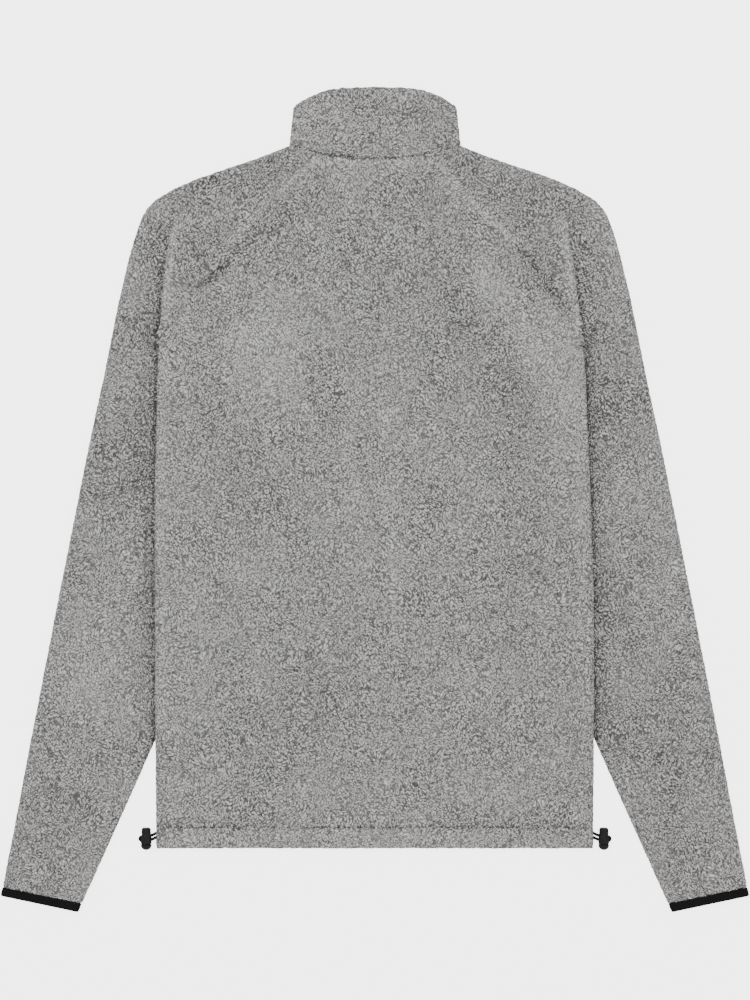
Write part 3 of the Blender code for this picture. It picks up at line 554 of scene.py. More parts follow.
def sleeve_middle(side):
    """Middle points of the one-piece raglan sleeve, a flattened tube, and its cells."""
    outer, back, front, inner = sleeve_edges(side)
    out = outward(outer)
    out[0] = (1.0, 0.0)
    shoulder = outer - out * FOLD_INSET
    inner_out = outward(inner)
    inner_out[:4] = (1.0, 0.0)
    lap = inner + inner_out * (FOLD_INSET - SEAM_LAP)
    rows = []
    for i, point in enumerate(shoulder):
        if i <= UPPER_ROWS:
            weight = max(0.0, 1.0 - i / UPPER_ROWS / SLEEVE_NECK_FADE) ** 2
            shift = np.array([0.0, -SEAM_LAP / 2.0]) * (i == 0)
            beside = shift - (SEAM_LAP / 2.0, 0.0)
            inboard = back[i] + beside - point
            point = point + shift
            parts = upper_sleeve_row(side, point, back[i] + beside, front[i] + beside, inboard, weight)
        else:
            k = i - UPPER_ROWS - 1
            parts = lower_sleeve_row(point, lap[k], inner_out[k])
        wrap, below, above, step, flap = parts
        turn = bend(point, out[i], FOLD_Z, BEND, -90, 90, TURN_STEPS)
        flap_z = LEVEL_2 + back_lift(side, flap[:, 0], flap[:, 1])
        flap_z += np.linspace(step[-1, 2] - flap_z[0], 0.0, FLAP_STEPS + 1)
        rows.append(np.concatenate([wrap[:-1], flat(below, LEVEL_1), turn[1:],
                                    flat(above, LEVEL_2)[1:], step[1:], flat(flap, flap_z)[1:]]))
    middle = np.array(rows)
    keep = all_cells(middle)
    keep[:UPPER_ROWS + 1, :TURN_STEPS] = False
    keep[UPPER_ROWS + 1:, 2 * TURN_STEPS + UNDER_STEPS + OVER_STEPS:] = False
    return handed(side, middle, keep)


def cuff_middle(side):
    """Middle points of the elastic binding round the end of the sleeve, a short flattened tube."""
    rows = []
    inset = mid_z = CUFF_CLOTH / 2.0 + BEND
    for outer_drop, inner_drop in zip(CUFF_OUTER_DROPS, CUFF_INNER_DROPS):
        outer = np.array([at(SILHOUETTE, "half", outer_drop) + CUFF_PROUD, outer_drop])
        inner = np.array([float(inner_half(side, inner_drop)), inner_drop])
        along = (outer - inner) / np.linalg.norm(outer - inner)
        far, near = outer - along * inset, inner + along * inset
        split = near - along * SEAM_LAP
        rows.append(np.concatenate([
            bend(near, -along, mid_z, BEND, 90, -90, TURN_STEPS)[:-1],
            flat(straight(near, far, CUFF_STEPS), mid_z - BEND),
            bend(far, along, mid_z, BEND, -90, 90, TURN_STEPS)[1:],
            flat(straight(far, split, CUFF_STEPS), mid_z + BEND)[1:]]))
    middle = np.array(rows)
    return handed(side, middle, all_cells(middle))


def stations(*stops):
    """Values at even steps between the stops; each stop after the first has its number of steps."""
    values = [np.atleast_1d(stops[0])]
    last = stops[0]
    for value, steps in stops[1:]:
        values.append(np.linspace(last, value, steps + 1)[1:])
        last = value
    return np.concatenate(values)


def strip_width(drop):
    """Width of the back that returns under the side edge to the side seam."""
    return STRIP_START_WIDTH + (STRIP_WIDTH - STRIP_START_WIDTH) * float(ease(drop, *STRIP_GROWTH))


def row_stations(side, drop, end, inner, counts):
    """Half widths across a body row: to the crease, down the ramp beside it, and in to the centre."""
    crease = min(float(crease_half(side, drop)), end - CREASE_MIN_GAP)
    width = end - inner
    ramp = np.clip(crease - LIFT_RAMP, *(inner + width * share for share in RAMP_SHARES))
    return stations(end, (crease, counts[0]), (ramp, counts[1]), (inner, counts[2]))


def back_half_row(side, end, drop, wrapped):
    """One side of a row of the back, from the side seam to the centre line."""
    half = row_stations(side, drop, end, 0.0, (3, 6, 5))
    height = LEVEL_2 + back_lift(side, half, drop)
    across = np.stack([half, np.full_like(half, drop), height], axis=1)
    if wrapped:
        top = float(height[0]) - BEND
        low = LEVEL_1 + float(front_lift(side, end, drop)) + BEND
        centre = np.array([end, drop])
        out = np.array([1.0, 0.0])
        strip = np.array([[end - strip_width(drop), drop, low - BEND]])
        lower = bend(centre, out, low, BEND, -90, 0, EDGE_STEPS)
        upper = bend(centre, out, max(top, low + MIN_WALL_RISE), BEND, 0, 90, EDGE_STEPS)
        edge = np.concatenate([strip, lower, upper])
    else:
        edge = np.tile(across[0], (2 * EDGE_STEPS + 3, 1))
    return np.concatenate([edge, across[1:]])


def back_middle():
    """Middle points of the back and its cells: neckline, raglan seams and side edges that turn under."""
    lines = []
    seams = {side: back_seam(side) for side in SIDES}
    sags = {side: back_neck_drop(0.0) - back_neck_drop(seams[side][:, 0]) for side in SIDES}
    for i in range(UPPER_ROWS + 1 + len(BODY_DROPS)):
        parts = []
        for side in SIDES:
            if i <= UPPER_ROWS:
                end = seams[side][i, 0] + SEAM_LAP / 2.0
                drop = seams[side][i, 1]
                part = back_half_row(side, end, drop, False)
                weight = max(0.0, 1.0 - i / UPPER_ROWS / NECK_FADE) ** 2
                centre = np.mean([seams[s][i, 1] + sags[s][i] * weight for s in SIDES])
                sag = (back_neck_drop(part[:, 0]) - back_neck_drop(seams[side][i, 0])) * weight
                part[:, 1] += sag + (centre - drop - sags[side][i] * weight) * (1.0 - part[:, 0] / end)
                part[:, 1] -= SEAM_LAP / 2.0 * (i == 0)
            else:
                drop = BODY_DROPS[i - UPPER_ROWS - 1]
                end = float(fold_half(side, drop)) - FOLD_INSET
                part = back_half_row(side, end, drop, True)
            parts.append(mirror(side, part))
        lines.append(np.concatenate([parts[0], parts[1][::-1][1:]]))
    middle = np.array(lines)
    keep = all_cells(middle)
    edge_cells = 2 * EDGE_STEPS + 2
    keep[:UPPER_ROWS + 1, :edge_cells] = False
    keep[:UPPER_ROWS + 1, -edge_cells:] = False
    return middle, keep


def front_middle(side):
    """Middle points of a front, under the back, from the zip to the side seam, and its cells.

    Its outer face is the lower one, because the garment lies on its front.
    """
    seam = front_seam(side)
    lines = []
    for i in range(UPPER_ROWS + 1 + len(BODY_DROPS)):
        if i <= UPPER_ROWS:
            end, drop = seam[i] + (SEAM_LAP / 2.0, 0.0)
        else:
            drop = BODY_DROPS[i - UPPER_ROWS - 1]
            end = float(fold_half(side, drop)) - FOLD_INSET - strip_width(drop) + 2.0 * SEAM_LAP
        half = row_stations(side, drop, end, ZIP_HALF, (2, 6, 4))
        height = LEVEL_1 + front_lift(side, half, drop)
        row = np.stack([half, np.full_like(half, drop), height], axis=1)
        if i <= UPPER_ROWS:
            share = i / UPPER_ROWS
            centre = FRONT_NECK_DROP * (1.0 - share) + ARMPIT_DROP * share
            neck = front_neck_drop(half) - front_neck_drop(end)
            fall = neck / max(1.0, front_neck_drop(ZIP_HALF) - front_neck_drop(end)) * (centre - drop)
            plain = (centre - drop) * (1.0 - half / end)
            blend = max(0.0, 1.0 - share / NECK_FADE)
            row[:, 1] += fall * blend + plain * (1.0 - blend) - SEAM_LAP / 2.0 * (i == 0)
        lines.append(row)
    middle = np.array(lines)[:, ::-1]
    return handed(side, middle, all_cells(middle))


def collar_section(row_share):
    """One level of the collar, from the left zip edge round the back to the right one."""
    side_half = NECK_HALF + (COLLAR_SIDE_HALF - NECK_HALF) * row_share
    fold_drop = NECK_SIDE_DROP + (COLLAR_SIDE_DROP - NECK_SIDE_DROP) * row_share
    end = side_half - FOLD_INSET
    share = np.linspace(0.0, 1.0, COLLAR_COLUMNS)
    back_half = end * share
    bottom = back_neck_drop(NECK_END * share) + SEAM_LAP / 2.0
    top = np.interp(back_half, COLLAR_TOP["half"], COLLAR_TOP["drop"])
    back_drop = bottom + (top - bottom) * row_share
    front_half = ZIP_HALF + (end - ZIP_HALF) * share
    low = front_neck_drop(NECK_END * front_half / end) + SEAM_LAP / 2.0
    dip = COLLAR_FRONT_DROP - COLLAR_SIDE_DROP
    high = COLLAR_SIDE_DROP + dip * (1.0 - (front_half / end) ** 2)
    front_drop = low + (high - low) * row_share
    turn = bend(np.array([end, 0.0]), np.array([1.0, 0.0]), FOLD_Z, BEND, -90, 90, TURN_STEPS)
    turn[:, 1] = np.linspace(front_drop[-1], back_drop[-1], TURN_STEPS + 1)
    outermost = TURN_STEPS // 2
    turn[outermost, 1] = (turn[outermost, 1] + fold_drop) / 2.0
    front_row = flat(np.stack([front_half, front_drop], axis=1), LEVEL_1)
    back_row = flat(np.stack([back_half, back_drop], axis=1), LEVEL_2)[::-1]
    right = np.concatenate([front_row[:-1], turn, back_row[1:]])
    return np.concatenate([mirror("left", right), right[::-1][1:]])


def collar_middle():
    """Middle points of the standing collar laid flat, its back over its two fronts."""
    levels = np.array([collar_section(share) for share in np.linspace(1.0, 0.0, COLLAR_ROWS)])
    return levels, all_cells(levels)


def refine(middle, keep, spacing):
    """The same surface on a finer grid: straight between the rows, then between the columns."""
    def finer(values, lengths):
        steps = np.maximum(1, np.ceil(lengths / spacing)).astype(int)
        index = np.concatenate([k + np.arange(n) / n for k, n in enumerate(steps)] + [[len(steps)]])
        low = np.minimum(index.astype(int), len(steps) - 1)
        return low, index - low

    down = np.linalg.norm(np.diff(middle, axis=0), axis=2)
    across = np.linalg.norm(np.diff(middle, axis=1), axis=2)
    side_kept = np.pad(keep, ((0, 0), (1, 1)))
    down_kept = side_kept[:, 1:] | side_kept[:, :-1]
    end_kept = np.pad(keep, ((1, 1), (0, 0)))
    across_kept = end_kept[1:] | end_kept[:-1]
    row_length = (down * down_kept).sum(axis=1) / down_kept.sum(axis=1)
    column_length = (across * across_kept).max(axis=0)
    low, part = finer(middle, row_length)
    rows = middle[low] * (1.0 - part)[:, None, None] + middle[low + 1] * part[:, None, None]
    row_of = low[:-1]
    low, part = finer(middle, column_length)
    grid = rows[:, low] * (1.0 - part)[None, :, None] + rows[:, low + 1] * part[None, :, None]
    return grid, keep[row_of][:, low[:-1]]


def cell_normals(points, keep):
    """Mean normal of the kept cells round each point of a grid, in metres."""
    across = points[:-1, 1:] - points[1:, :-1]
    down = points[1:, 1:] - points[:-1, :-1]
    normals = np.cross(down, across)
    normals /= np.linalg.norm(normals, axis=2, keepdims=True) + 1e-15
    normals[~keep] = 0.0
    total = np.zeros_like(points)
    kept = np.zeros(points.shape[:2])
    for i in (0, 1):
        for j in (0, 1):
            window = (slice(i, points.shape[0] - 1 + i), slice(j, points.shape[1] - 1 + j))
            total[window] += normals
            kept[window] += keep
    return total / (np.linalg.norm(total, axis=2, keepdims=True) + 1e-15), kept


def scatter(u, v, seed):
    """Two numbers from 0 to 1 for each whole (u, v), always the same ones."""
    mixed = (u.astype(np.int64) * 73856093) ^ (v.astype(np.int64) * 19349663) ^ (seed * 83492791)
    mixed = (mixed ^ (mixed >> 13)) * 1274126177 & 0x7FFFFFFF
    again = (mixed ^ (mixed >> 11)) * 1103515245 + 12345 & 0x7FFFFFFF
    return (mixed % 10007) / 10007.0, (again % 10009) / 10009.0


def drift(x, y, size, seed):
    """Smooth patches from -1 to 1: random values on a square net, blended between."""
    u, v = x / size, y / size
    i, j = np.floor(u), np.floor(v)
    fu, fv = smooth(u - i), smooth(v - j)
    corner = {(a, b): scatter(i + a, j + b, seed)[0] for a in (0, 1) for b in (0, 1)}
    low = corner[0, 0] * (1 - fu) + corner[1, 0] * fu
    high = corner[0, 1] * (1 - fu) + corner[1, 1] * fu
    return (low * (1 - fv) + high * fv) * 2.0 - 1.0


def tufts(x, y, size, seed):
    """Height of the pile, from 0 in the gaps to 1 on a tuft.

    One tuft grows round each jittered point of a square net. Distances are
    measured in the tuft's own stretched, turned frame, so that they are short
    worms lying every way; the gap lies where the nearest two are equally far.
    """
    x = x + sum(reach * drift(x, y, length, seed + 5 + k) for k, (reach, length) in enumerate(TUFT_WARPS))
    y = y + sum(reach * drift(x, y, length, seed + 7 + k) for k, (reach, length) in enumerate(TUFT_WARPS))
    u, v = x / size, y / size
    i, j = np.floor(u), np.floor(v)
    first = second = np.full(x.shape, 9.0)
    for a in range(-2, 3):
        for b in range(-2, 3):
            p, q = scatter(i + a, j + b, seed)
            angle = scatter(i + a, j + b, seed + 1)[0] * math.pi
            du, dv = u - (i + a + p), v - (j + b + q)
            along = du * np.cos(angle) + dv * np.sin(angle)
            beside = dv * np.cos(angle) - du * np.sin(angle)
            reach = np.hypot(along * TUFT_STRETCH[0], beside * TUFT_STRETCH[1])
            second = np.where(reach < first, first, np.minimum(second, reach))
            first = np.minimum(first, reach)
    ridge = smooth((second - first) / TUFT_GAP)
    dome = np.clip(TUFT_DOME - first, 0.0, 1.0)
    return ridge * (TUFT_EDGE + (1.0 - TUFT_EDGE) * dome)


def mesh_object(name, vertices, faces, attributes=None):
    """A smooth-shaded mesh in metres, with values per point for its material."""
    mesh = bpy.data.meshes.new(name)
    faces = np.asarray(faces, dtype=np.int32)
    mesh.vertices.add(len(vertices))
    mesh.vertices.foreach_set("co", np.asarray(vertices, dtype=np.float32).ravel())
    mesh.loops.add(faces.size)
    mesh.loops.foreach_set("vertex_index", faces.ravel())
    mesh.polygons.add(len(faces))
    mesh.polygons.foreach_set("loop_start", np.arange(0, faces.size, faces.shape[1], dtype=np.int32))
    mesh.update(calc_edges=True)
    mesh.validate()
    for key, values in (attributes or {}).items():
        layer = mesh.attributes.new(key, 'FLOAT', 'POINT')
        layer.data.foreach_set("value", np.asarray(values, dtype=np.float32).ravel())
    mesh.shade_smooth()
    obj = bpy.data.objects.new(name, mesh)
    bpy.context.collection.objects.link(obj)
    return obj


def edge_taper(kept, keep):
    """1 inside the cloth and less at its cut edges, so that the pile rolls over them."""
    inside = kept >= 4.0
    ring = np.pad(inside, 1, constant_values=False)
    beside = ring[:-2, 1:-1] & ring[2:, 1:-1] & ring[1:-1, :-2] & ring[1:-1, 2:]
    return np.where(inside, np.where(beside, 1.0, PILE_EDGE[1]), PILE_EDGE[0])


def two_faces(points, normals, outer, inner):
    """Points of the cloth's outer face and then of its inner one, never below the table.

    Each is the middle point plus or minus its distance along the normal.
    """
    both = np.stack([points + normals * (outer * MM)[..., None], points - normals * (inner * MM)])
    both[..., 2] = np.maximum(both[..., 2], TABLE_CLEAR * MM)
    return both.reshape(-1, 3)


def grid_quads(rows, columns):
    """Corners of each cell of a grid of points, row by row."""
    index = np.arange(rows * columns).reshape(rows, columns)
    return np.stack([index[:-1, :-1], index[1:, :-1], index[1:, 1:], index[:-1, 1:]], axis=-1)


def skirt(cells, count):
    """Faces from the rim of the outer face down to the inner one, whose points follow `count` later.

    An edge is on the rim if no neighbour has it the other way round.
    """
    edges = np.concatenate([cells[:, [k, (k + 1) % 4]] for k in range(4)]).astype(np.int64)
    first, last = edges[~np.isin(edges[:, 0] * count + edges[:, 1], edges[:, 1] * count + edges[:, 0])].T
    return np.stack([last, first, first + count, last + count], axis=1)


def pile_cloth(name, middle, keep, spacing, seed, relief=None, painted_shade=None):
    """A piece of pile cloth on a grid of middle points, given in (x, drop, z) millimetres.

    The outer face is the middle plus half the wall plus the pile's height along
    the normal. The cut edges roll over and run down to the inner face.
    """
    grid, kept_cells = refine(middle, keep, spacing)
    x, drop = grid[..., 0], grid[..., 1]
    if relief is not None:
        grid[..., 2] += relief(x, drop, grid[..., 2])
    points = place(grid)
    normals, kept = cell_normals(points, kept_cells)
    edge = (kept < 4.0)[..., None]
    ragged = np.stack([drift(x, drop + 9.0 * k, RAGGED_SIZE, seed + 50 + k) for k in range(3)], axis=-1)
    points = points + edge * ragged * (RAGGED * MM)
    shift = np.where(normals[..., 2] < -0.2, UNDERSIDE_SHIFT, 0.0)
    height = tufts(x + shift, drop, TUFT_SIZE, seed)
    fine = tufts(x + shift, drop, TUFT_SIZE * FINE_TUFT, seed + 20)
    height = (1.0 - FINE_SHARE) * height + FINE_SHARE * fine
    taper = edge_taper(kept, kept_cells)
    level = PILE_ON_SIDE + (1.0 - PILE_ON_SIDE) * np.abs(normals[..., 2])
    rise = PILE_HEIGHT * height * (PILE_ON_RIM + (1.0 - PILE_ON_RIM) * taper)
    outer = (CLOTH / 2.0 - PILE_SINK * level) * taper + rise * level
    vertices = two_faces(points, normals, outer, CLOTH / 2.0 - CLOTH_INNER_SINK)
    cells = grid_quads(*kept.shape)[kept_cells]
    faces = np.concatenate([cells, skirt(cells, kept.size)])
    used, faces = np.unique(faces, return_inverse=True)
    # Painted light and shade of the pile, held per point for its material
    light_and_shade = np.zeros(kept.shape) if painted_shade is None else painted_shade(x, drop, grid[..., 2])
    values = {"pile": [height, np.zeros(kept.shape)], "painted_shade": [light_and_shade, light_and_shade]}
    values = {key: np.stack(pair).ravel()[used] for key, pair in values.items()}
    obj = mesh_object(name, vertices[used], faces.reshape(-1, 4), values)
    obj["cut"] = flat_cut(middle, keep)
    obj.data.materials.append(MATERIALS["fleece"])
    return obj


def flat_cut(middle, keep):
    """Width, length and area of the cloth before it is laid, in metres."""
    points = place(middle)
    across = np.linalg.norm(np.diff(points, axis=1), axis=2)
    down = np.linalg.norm(np.diff(points, axis=0), axis=2)
    wide = (across[:-1] * keep).sum(axis=1).max()
    long = (down[:, :-1] * keep).sum(axis=0).max()
    falling, rising = points[1:, 1:] - points[:-1, :-1], points[:-1, 1:] - points[1:, :-1]
    one = np.linalg.norm(np.cross(falling, rising), axis=2)
    return [float(wide), float(long), float((one * keep).sum() / 2.0)]


class Nodes:
    """Short way to build one material's node tree."""

    def __init__(self, name, colour, roughness, metallic=0.0, specular=0.5):
        self.material = bpy.data.materials.new(name)
        self.material.use_nodes = True
        self.tree = self.material.node_tree
        self.shader = self.tree.nodes["Principled BSDF"]
        self.shader.inputs["Base Color"].default_value = (*colour, 1.0)
        self.shader.inputs["Roughness"].default_value = roughness
        self.shader.inputs["Metallic"].default_value = metallic
        self.shader.inputs["Specular IOR Level"].default_value = specular

    def node(self, kind, **values):
        """A new node; a value goes to the property of that name, or else to the input."""
        made = self.tree.nodes.new(kind)
        for key, value in values.items():
            if hasattr(made, key):
                setattr(made, key, value)
            else:
                made.inputs[key.replace("_", " ")].default_value = value
        return made

    def link(self, source, target):
        """Join an output to an input."""
        self.tree.links.new(source, target)

    def place(self, scale=(1.0, 1.0, 1.0)):
        """Object coordinates, stretched."""
        where = self.node("ShaderNodeTexCoord")
        mapping = self.node("ShaderNodeMapping")
        mapping.inputs["Scale"].default_value = scale
        self.link(where.outputs["Object"], mapping.inputs["Vector"])
        return mapping.outputs["Vector"]

    def attribute(self, name):
        """A value that the mesh holds per point."""
        return self.node("ShaderNodeAttribute", attribute_name=name).outputs["Fac"]

    def noise(self, scale, detail=2.0, stretch=(1.0, 1.0, 1.0), rough=0.5):
        """Soft noise, with so many cells to the metre."""
        made = self.node("ShaderNodeTexNoise", Scale=scale, Detail=detail, Roughness=rough)
        self.link(self.place(stretch), made.inputs["Vector"])
        return made.outputs["Fac"]

    def ramp(self, source, low, high, out_low=0.0, out_high=1.0):
        """One range of values turned into another, clamped."""
        made = self.node("ShaderNodeMapRange", From_Min=low, From_Max=high, To_Min=out_low, To_Max=out_high)
        self.link(source, made.inputs["Value"])
        return made.outputs["Result"]

    def sum(self, first, second, operation='ADD'):
        """The sum of two values, or another operation on them."""
        made = self.node("ShaderNodeMath", operation=operation)
        for slot, value in zip(made.inputs, (first, second)):
            if isinstance(value, float):
                slot.default_value = value
            else:
                self.link(value, slot)
        return made.outputs["Value"]

    def mix(self, factor, first, second):
        """The first value where the factor is 0 and the second where it is 1."""
        made = self.node("ShaderNodeMix", data_type='FLOAT')
        self.link(factor, made.inputs[0])
        self.link(first, made.inputs[2])
        self.link(second, made.inputs[3])
        return made.outputs[0]

    def colours(self, factor, stops):
        """Base colour from a ramp of (position, colour) stops."""
        made = self.node("ShaderNodeValToRGB")
        ramp = made.color_ramp
        while len(ramp.elements) < len(stops):
            ramp.elements.new(0.5)
        for element, (position, colour) in zip(ramp.elements, stops):
            element.position = position
            element.color = (*colour, 1.0)
        self.link(factor, made.inputs["Fac"])
        self.link(made.outputs["Color"], self.shader.inputs["Base Color"])

    def bump(self, height, strength, distance):
        """Bump of the surface from a height."""
        made = self.node("ShaderNodeBump", Strength=strength, Distance=distance)
        self.link(height, made.inputs["Height"])
        self.link(made.outputs["Normal"], self.shader.inputs["Normal"])


def grey(value, warmth=0.018):
    """A grey a little warmer than neutral, as linear colour."""
    return (value * (1.0 + warmth), value, value * (1.0 - warmth))


def curls(cloth):
    """Height of the curled pile, 0 in the gaps and 1 on a tip: evenly spaced tufts, bent and stretched.

    The ground is warped by two noises first, so that neighbouring tufts lie
    alike and the way they lie changes from patch to patch.
    """
    where = cloth.node("ShaderNodeTexCoord").outputs["Object"]
    ground = where
    for scale, reach in CURL_WARPS:
        warp = cloth.node("ShaderNodeTexNoise", Scale=scale, Detail=1.0)
        cloth.link(where, warp.inputs["Vector"])
        spread = cloth.node("ShaderNodeVectorMath", operation='MULTIPLY_ADD')
        cloth.link(warp.outputs["Color"], spread.inputs[0])
        spread.inputs[1].default_value = (reach, reach, reach)
        cloth.link(ground, spread.inputs[2])
        ground = spread.outputs[0]
    found = []
    for turn, stretch, scale in CURL_LAYERS:
        mapping = cloth.node("ShaderNodeMapping", vector_type='TEXTURE')
        mapping.inputs["Rotation"].default_value = (0.0, 0.0, math.radians(turn))
        mapping.inputs["Scale"].default_value = stretch
        cloth.link(ground, mapping.inputs["Vector"])
        tuft = cloth.node("ShaderNodeTexVoronoi", Scale=scale, Randomness=CURL_RANDOMNESS)
        cloth.link(mapping.outputs["Vector"], tuft.inputs["Vector"])
        found.append(tuft.outputs["Distance"])
    change = cloth.ramp(cloth.noise(24.0, detail=1.0), 0.46, 0.54)
    return cloth.ramp(cloth.mix(change, *found), *CURL_REACH, 1.0, 0.0)


def fleece_finish():
    """Curled pile: painted shade in the gaps between tufts and painted light on their tips, in patches that
    lie each way.
    """
    cloth = Nodes("fleece", grey(FLEECE_GREY), 0.96, specular=0.15)
    curl = curls(cloth)
    speck = cloth.noise(700.0, detail=1.0)
    contrast = cloth.ramp(cloth.noise(26.0), 0.32, 0.68, *CURL_WEIGHT)
    # Painted shade in the gaps between tufts and painted light on their tips, from the mesh's pile and from
    # the curls
    level = cloth.sum(cloth.ramp(cloth.attribute("pile"), 0.0, 1.0, -PILE_SHADE, PILE_SHADE), CURL_LEVEL)
    level = cloth.sum(level, cloth.sum(cloth.ramp(curl, 0.0, 1.0, -1.0, 1.0), contrast, 'MULTIPLY'))
    level = cloth.sum(level, cloth.ramp(speck, 0.3, 0.7, -SPECK, SPECK))
    level = cloth.sum(level, cloth.ramp(cloth.noise(13.0), 0.3, 0.7, -PATCH_SHADE, PATCH_SHADE))
    # Painted light and shade held on the mesh's points
    level = cloth.sum(level, cloth.attribute("painted_shade"))
    cloth.colours(level, [(k / 4.0, grey(FLEECE_GREY * share)) for k, share in enumerate(FLEECE_SHADES)])
    cloth.shader.inputs["Sheen Weight"].default_value = 0.15
    cloth.shader.inputs["Sheen Roughness"].default_value = 0.6
    fibre = cloth.noise(1300.0)
    cloth.bump(cloth.sum(curl, cloth.ramp(fibre, 0.0, 1.0, 0.0, 0.25)), 0.6, 0.0016)
    return cloth.material


def knit_finish():
    """Ribbed black elastic: fine ribs across the binding."""
    knit = Nodes("knit", (0.013, 0.013, 0.014), 0.8, specular=0.1)
    rib = knit.node("ShaderNodeTexWave", Scale=190.0, Distortion=0.6, Detail=1.0)
    knit.link(knit.place(), rib.inputs["Vector"])
    fluff = knit.noise(900.0)
    fluffed = knit.sum(rib.outputs["Fac"], fluff, 'MULTIPLY')
    knit.colours(fluffed, [(0.0, (0.006, 0.006, 0.006)), (0.7, (0.014, 0.014, 0.015))])
    knit.bump(rib.outputs["Fac"], 0.5, 0.0004)
    return knit.material


def tape_finish():
    """Twill zip tape."""
    tape = Nodes("tape", (0.02, 0.02, 0.021), 0.8, specular=0.15)
    twill = tape.node("ShaderNodeTexWave", Scale=420.0, bands_direction='DIAGONAL')
    tape.link(tape.place(), twill.inputs["Vector"])
    tape.colours(twill.outputs["Fac"], [(0.0, (0.010, 0.010, 0.010)), (1.0, (0.032, 0.032, 0.033))])
    tape.bump(twill.outputs["Fac"], 0.4, 0.0002)
    return tape.material


def cord_finish():
    """Braided cord: small cells, a little closer along one way than the other."""
    cord = Nodes("cord", (0.012, 0.012, 0.013), 0.75, specular=0.1)
    braid = cord.node("ShaderNodeTexVoronoi", Scale=1500.0)
    cord.link(cord.place((1.0, 1.6, 1.0)), braid.inputs["Vector"])
    cord.colours(braid.outputs["Distance"], [(0.0, (0.028, 0.028, 0.03)), (0.8, (0.006, 0.006, 0.006))])
    cord.bump(braid.outputs["Distance"], 0.5, 0.0003)
    return cord.material


def plastic_finish():
    """Moulded black plastic with a fine spark-eroded grain."""
    plastic = Nodes("plastic", (0.011, 0.011, 0.012), 0.4, specular=0.2)
    grain = plastic.noise(2400.0, detail=3.0)
    plastic.colours(grain, [(0.3, (0.008, 0.008, 0.009)), (0.7, (0.016, 0.016, 0.017))])
    roughness = plastic.ramp(plastic.noise(300.0), 0.3, 0.7, 0.32, 0.5)
    plastic.link(roughness, plastic.shader.inputs["Roughness"])
    plastic.bump(grain, 0.25, 0.0001)
    return plastic.material


def metal_finish():
    """Dark coated metal, rubbed at random."""
    metal = Nodes("metal", (0.05, 0.05, 0.052), 0.35, metallic=1.0)
    wear = metal.noise(500.0, detail=4.0)
    metal.colours(wear, [(0.35, (0.035, 0.035, 0.037)), (0.75, (0.11, 0.11, 0.115))])
    metal.link(metal.ramp(wear, 0.3, 0.7, 0.42, 0.26), metal.shader.inputs["Roughness"])
    metal.bump(wear, 0.15, 0.0001)
    return metal.material


MATERIALS = {"fleece": fleece_finish(), "knit": knit_finish(), "tape": tape_finish(),
             "cord": cord_finish(), "plastic": plastic_finish(), "metal": metal_finish()}


def soft_line(x, y, points, width):
    """1 on a broken line through the points and less away from it: a bell of that width."""
    best = np.zeros(x.shape)
    for (ax, ay), (bx, by) in zip(points[:-1], points[1:]):
        length = (bx - ax) ** 2 + (by - ay) ** 2
        along = np.clip(((x - ax) * (bx - ax) + (y - ay) * (by - ay)) / length, 0.0, 1.0)
        gap = (x - ax - along * (bx - ax)) ** 2 + (y - ay - along * (by - ay)) ** 2
        best = np.maximum(best, np.exp(-gap / width ** 2))
    return best


def soft_lines(x, y, rows):
    """Sum of a table's soft lines, each times its value."""
    return sum(value * soft_line(x, y, points, width) for value, width, points in rows)


def patches(x, y, name):
    """Soft uneven patches of one of the named kinds."""
    amount, size, seed = DRIFTS[name]
    return amount * drift(x, y, size, seed)


def back_relief(x, drop, z):
    """Listed creases, a shallow drift, the stitched line and small puckers under it."""
    rise = patches(x, drop, "back_relief") + soft_lines(x, drop, BACK_CREASES)
    rise = rise + HEM_GROOVE[0] * bell(drop - HEM_LINE_DROP, HEM_GROOVE[1])
    near_hem = ease(drop, HEM_LINE_DROP - HEM_PUCKER_REACH, HEM_PUCKER_REACH)
    return (rise + patches(x, drop * 0.3, "hem_pucker") * near_hem) * (z > UPPER_LAYER_Z)


def back_painted_shade(x, drop, z):
    """Patches of painted light and painted shade, listed one by one, and a drift between them."""
    # Painted light and shade on the seams and creases, with a random drift
    shade = patches(x, drop, "back_painted_shade") + soft_lines(x, drop, SEAM_PAINTED_SHADE + BACK_PAINTED_SHADE)
    # Painted shade in the groove of the hem's stitched line, uneven along it, and paler below that line
    uneven = 1.0 + patches(x, drop, "groove_shade_waver")
    groove = GROOVE_PAINTED_SHADE[0] * bell(drop - HEM_LINE_DROP, GROOVE_PAINTED_SHADE[1]) * uneven
    return shade + HEM_BAND_PALER * ease(drop, HEM_LINE_DROP, 2.0) + groove


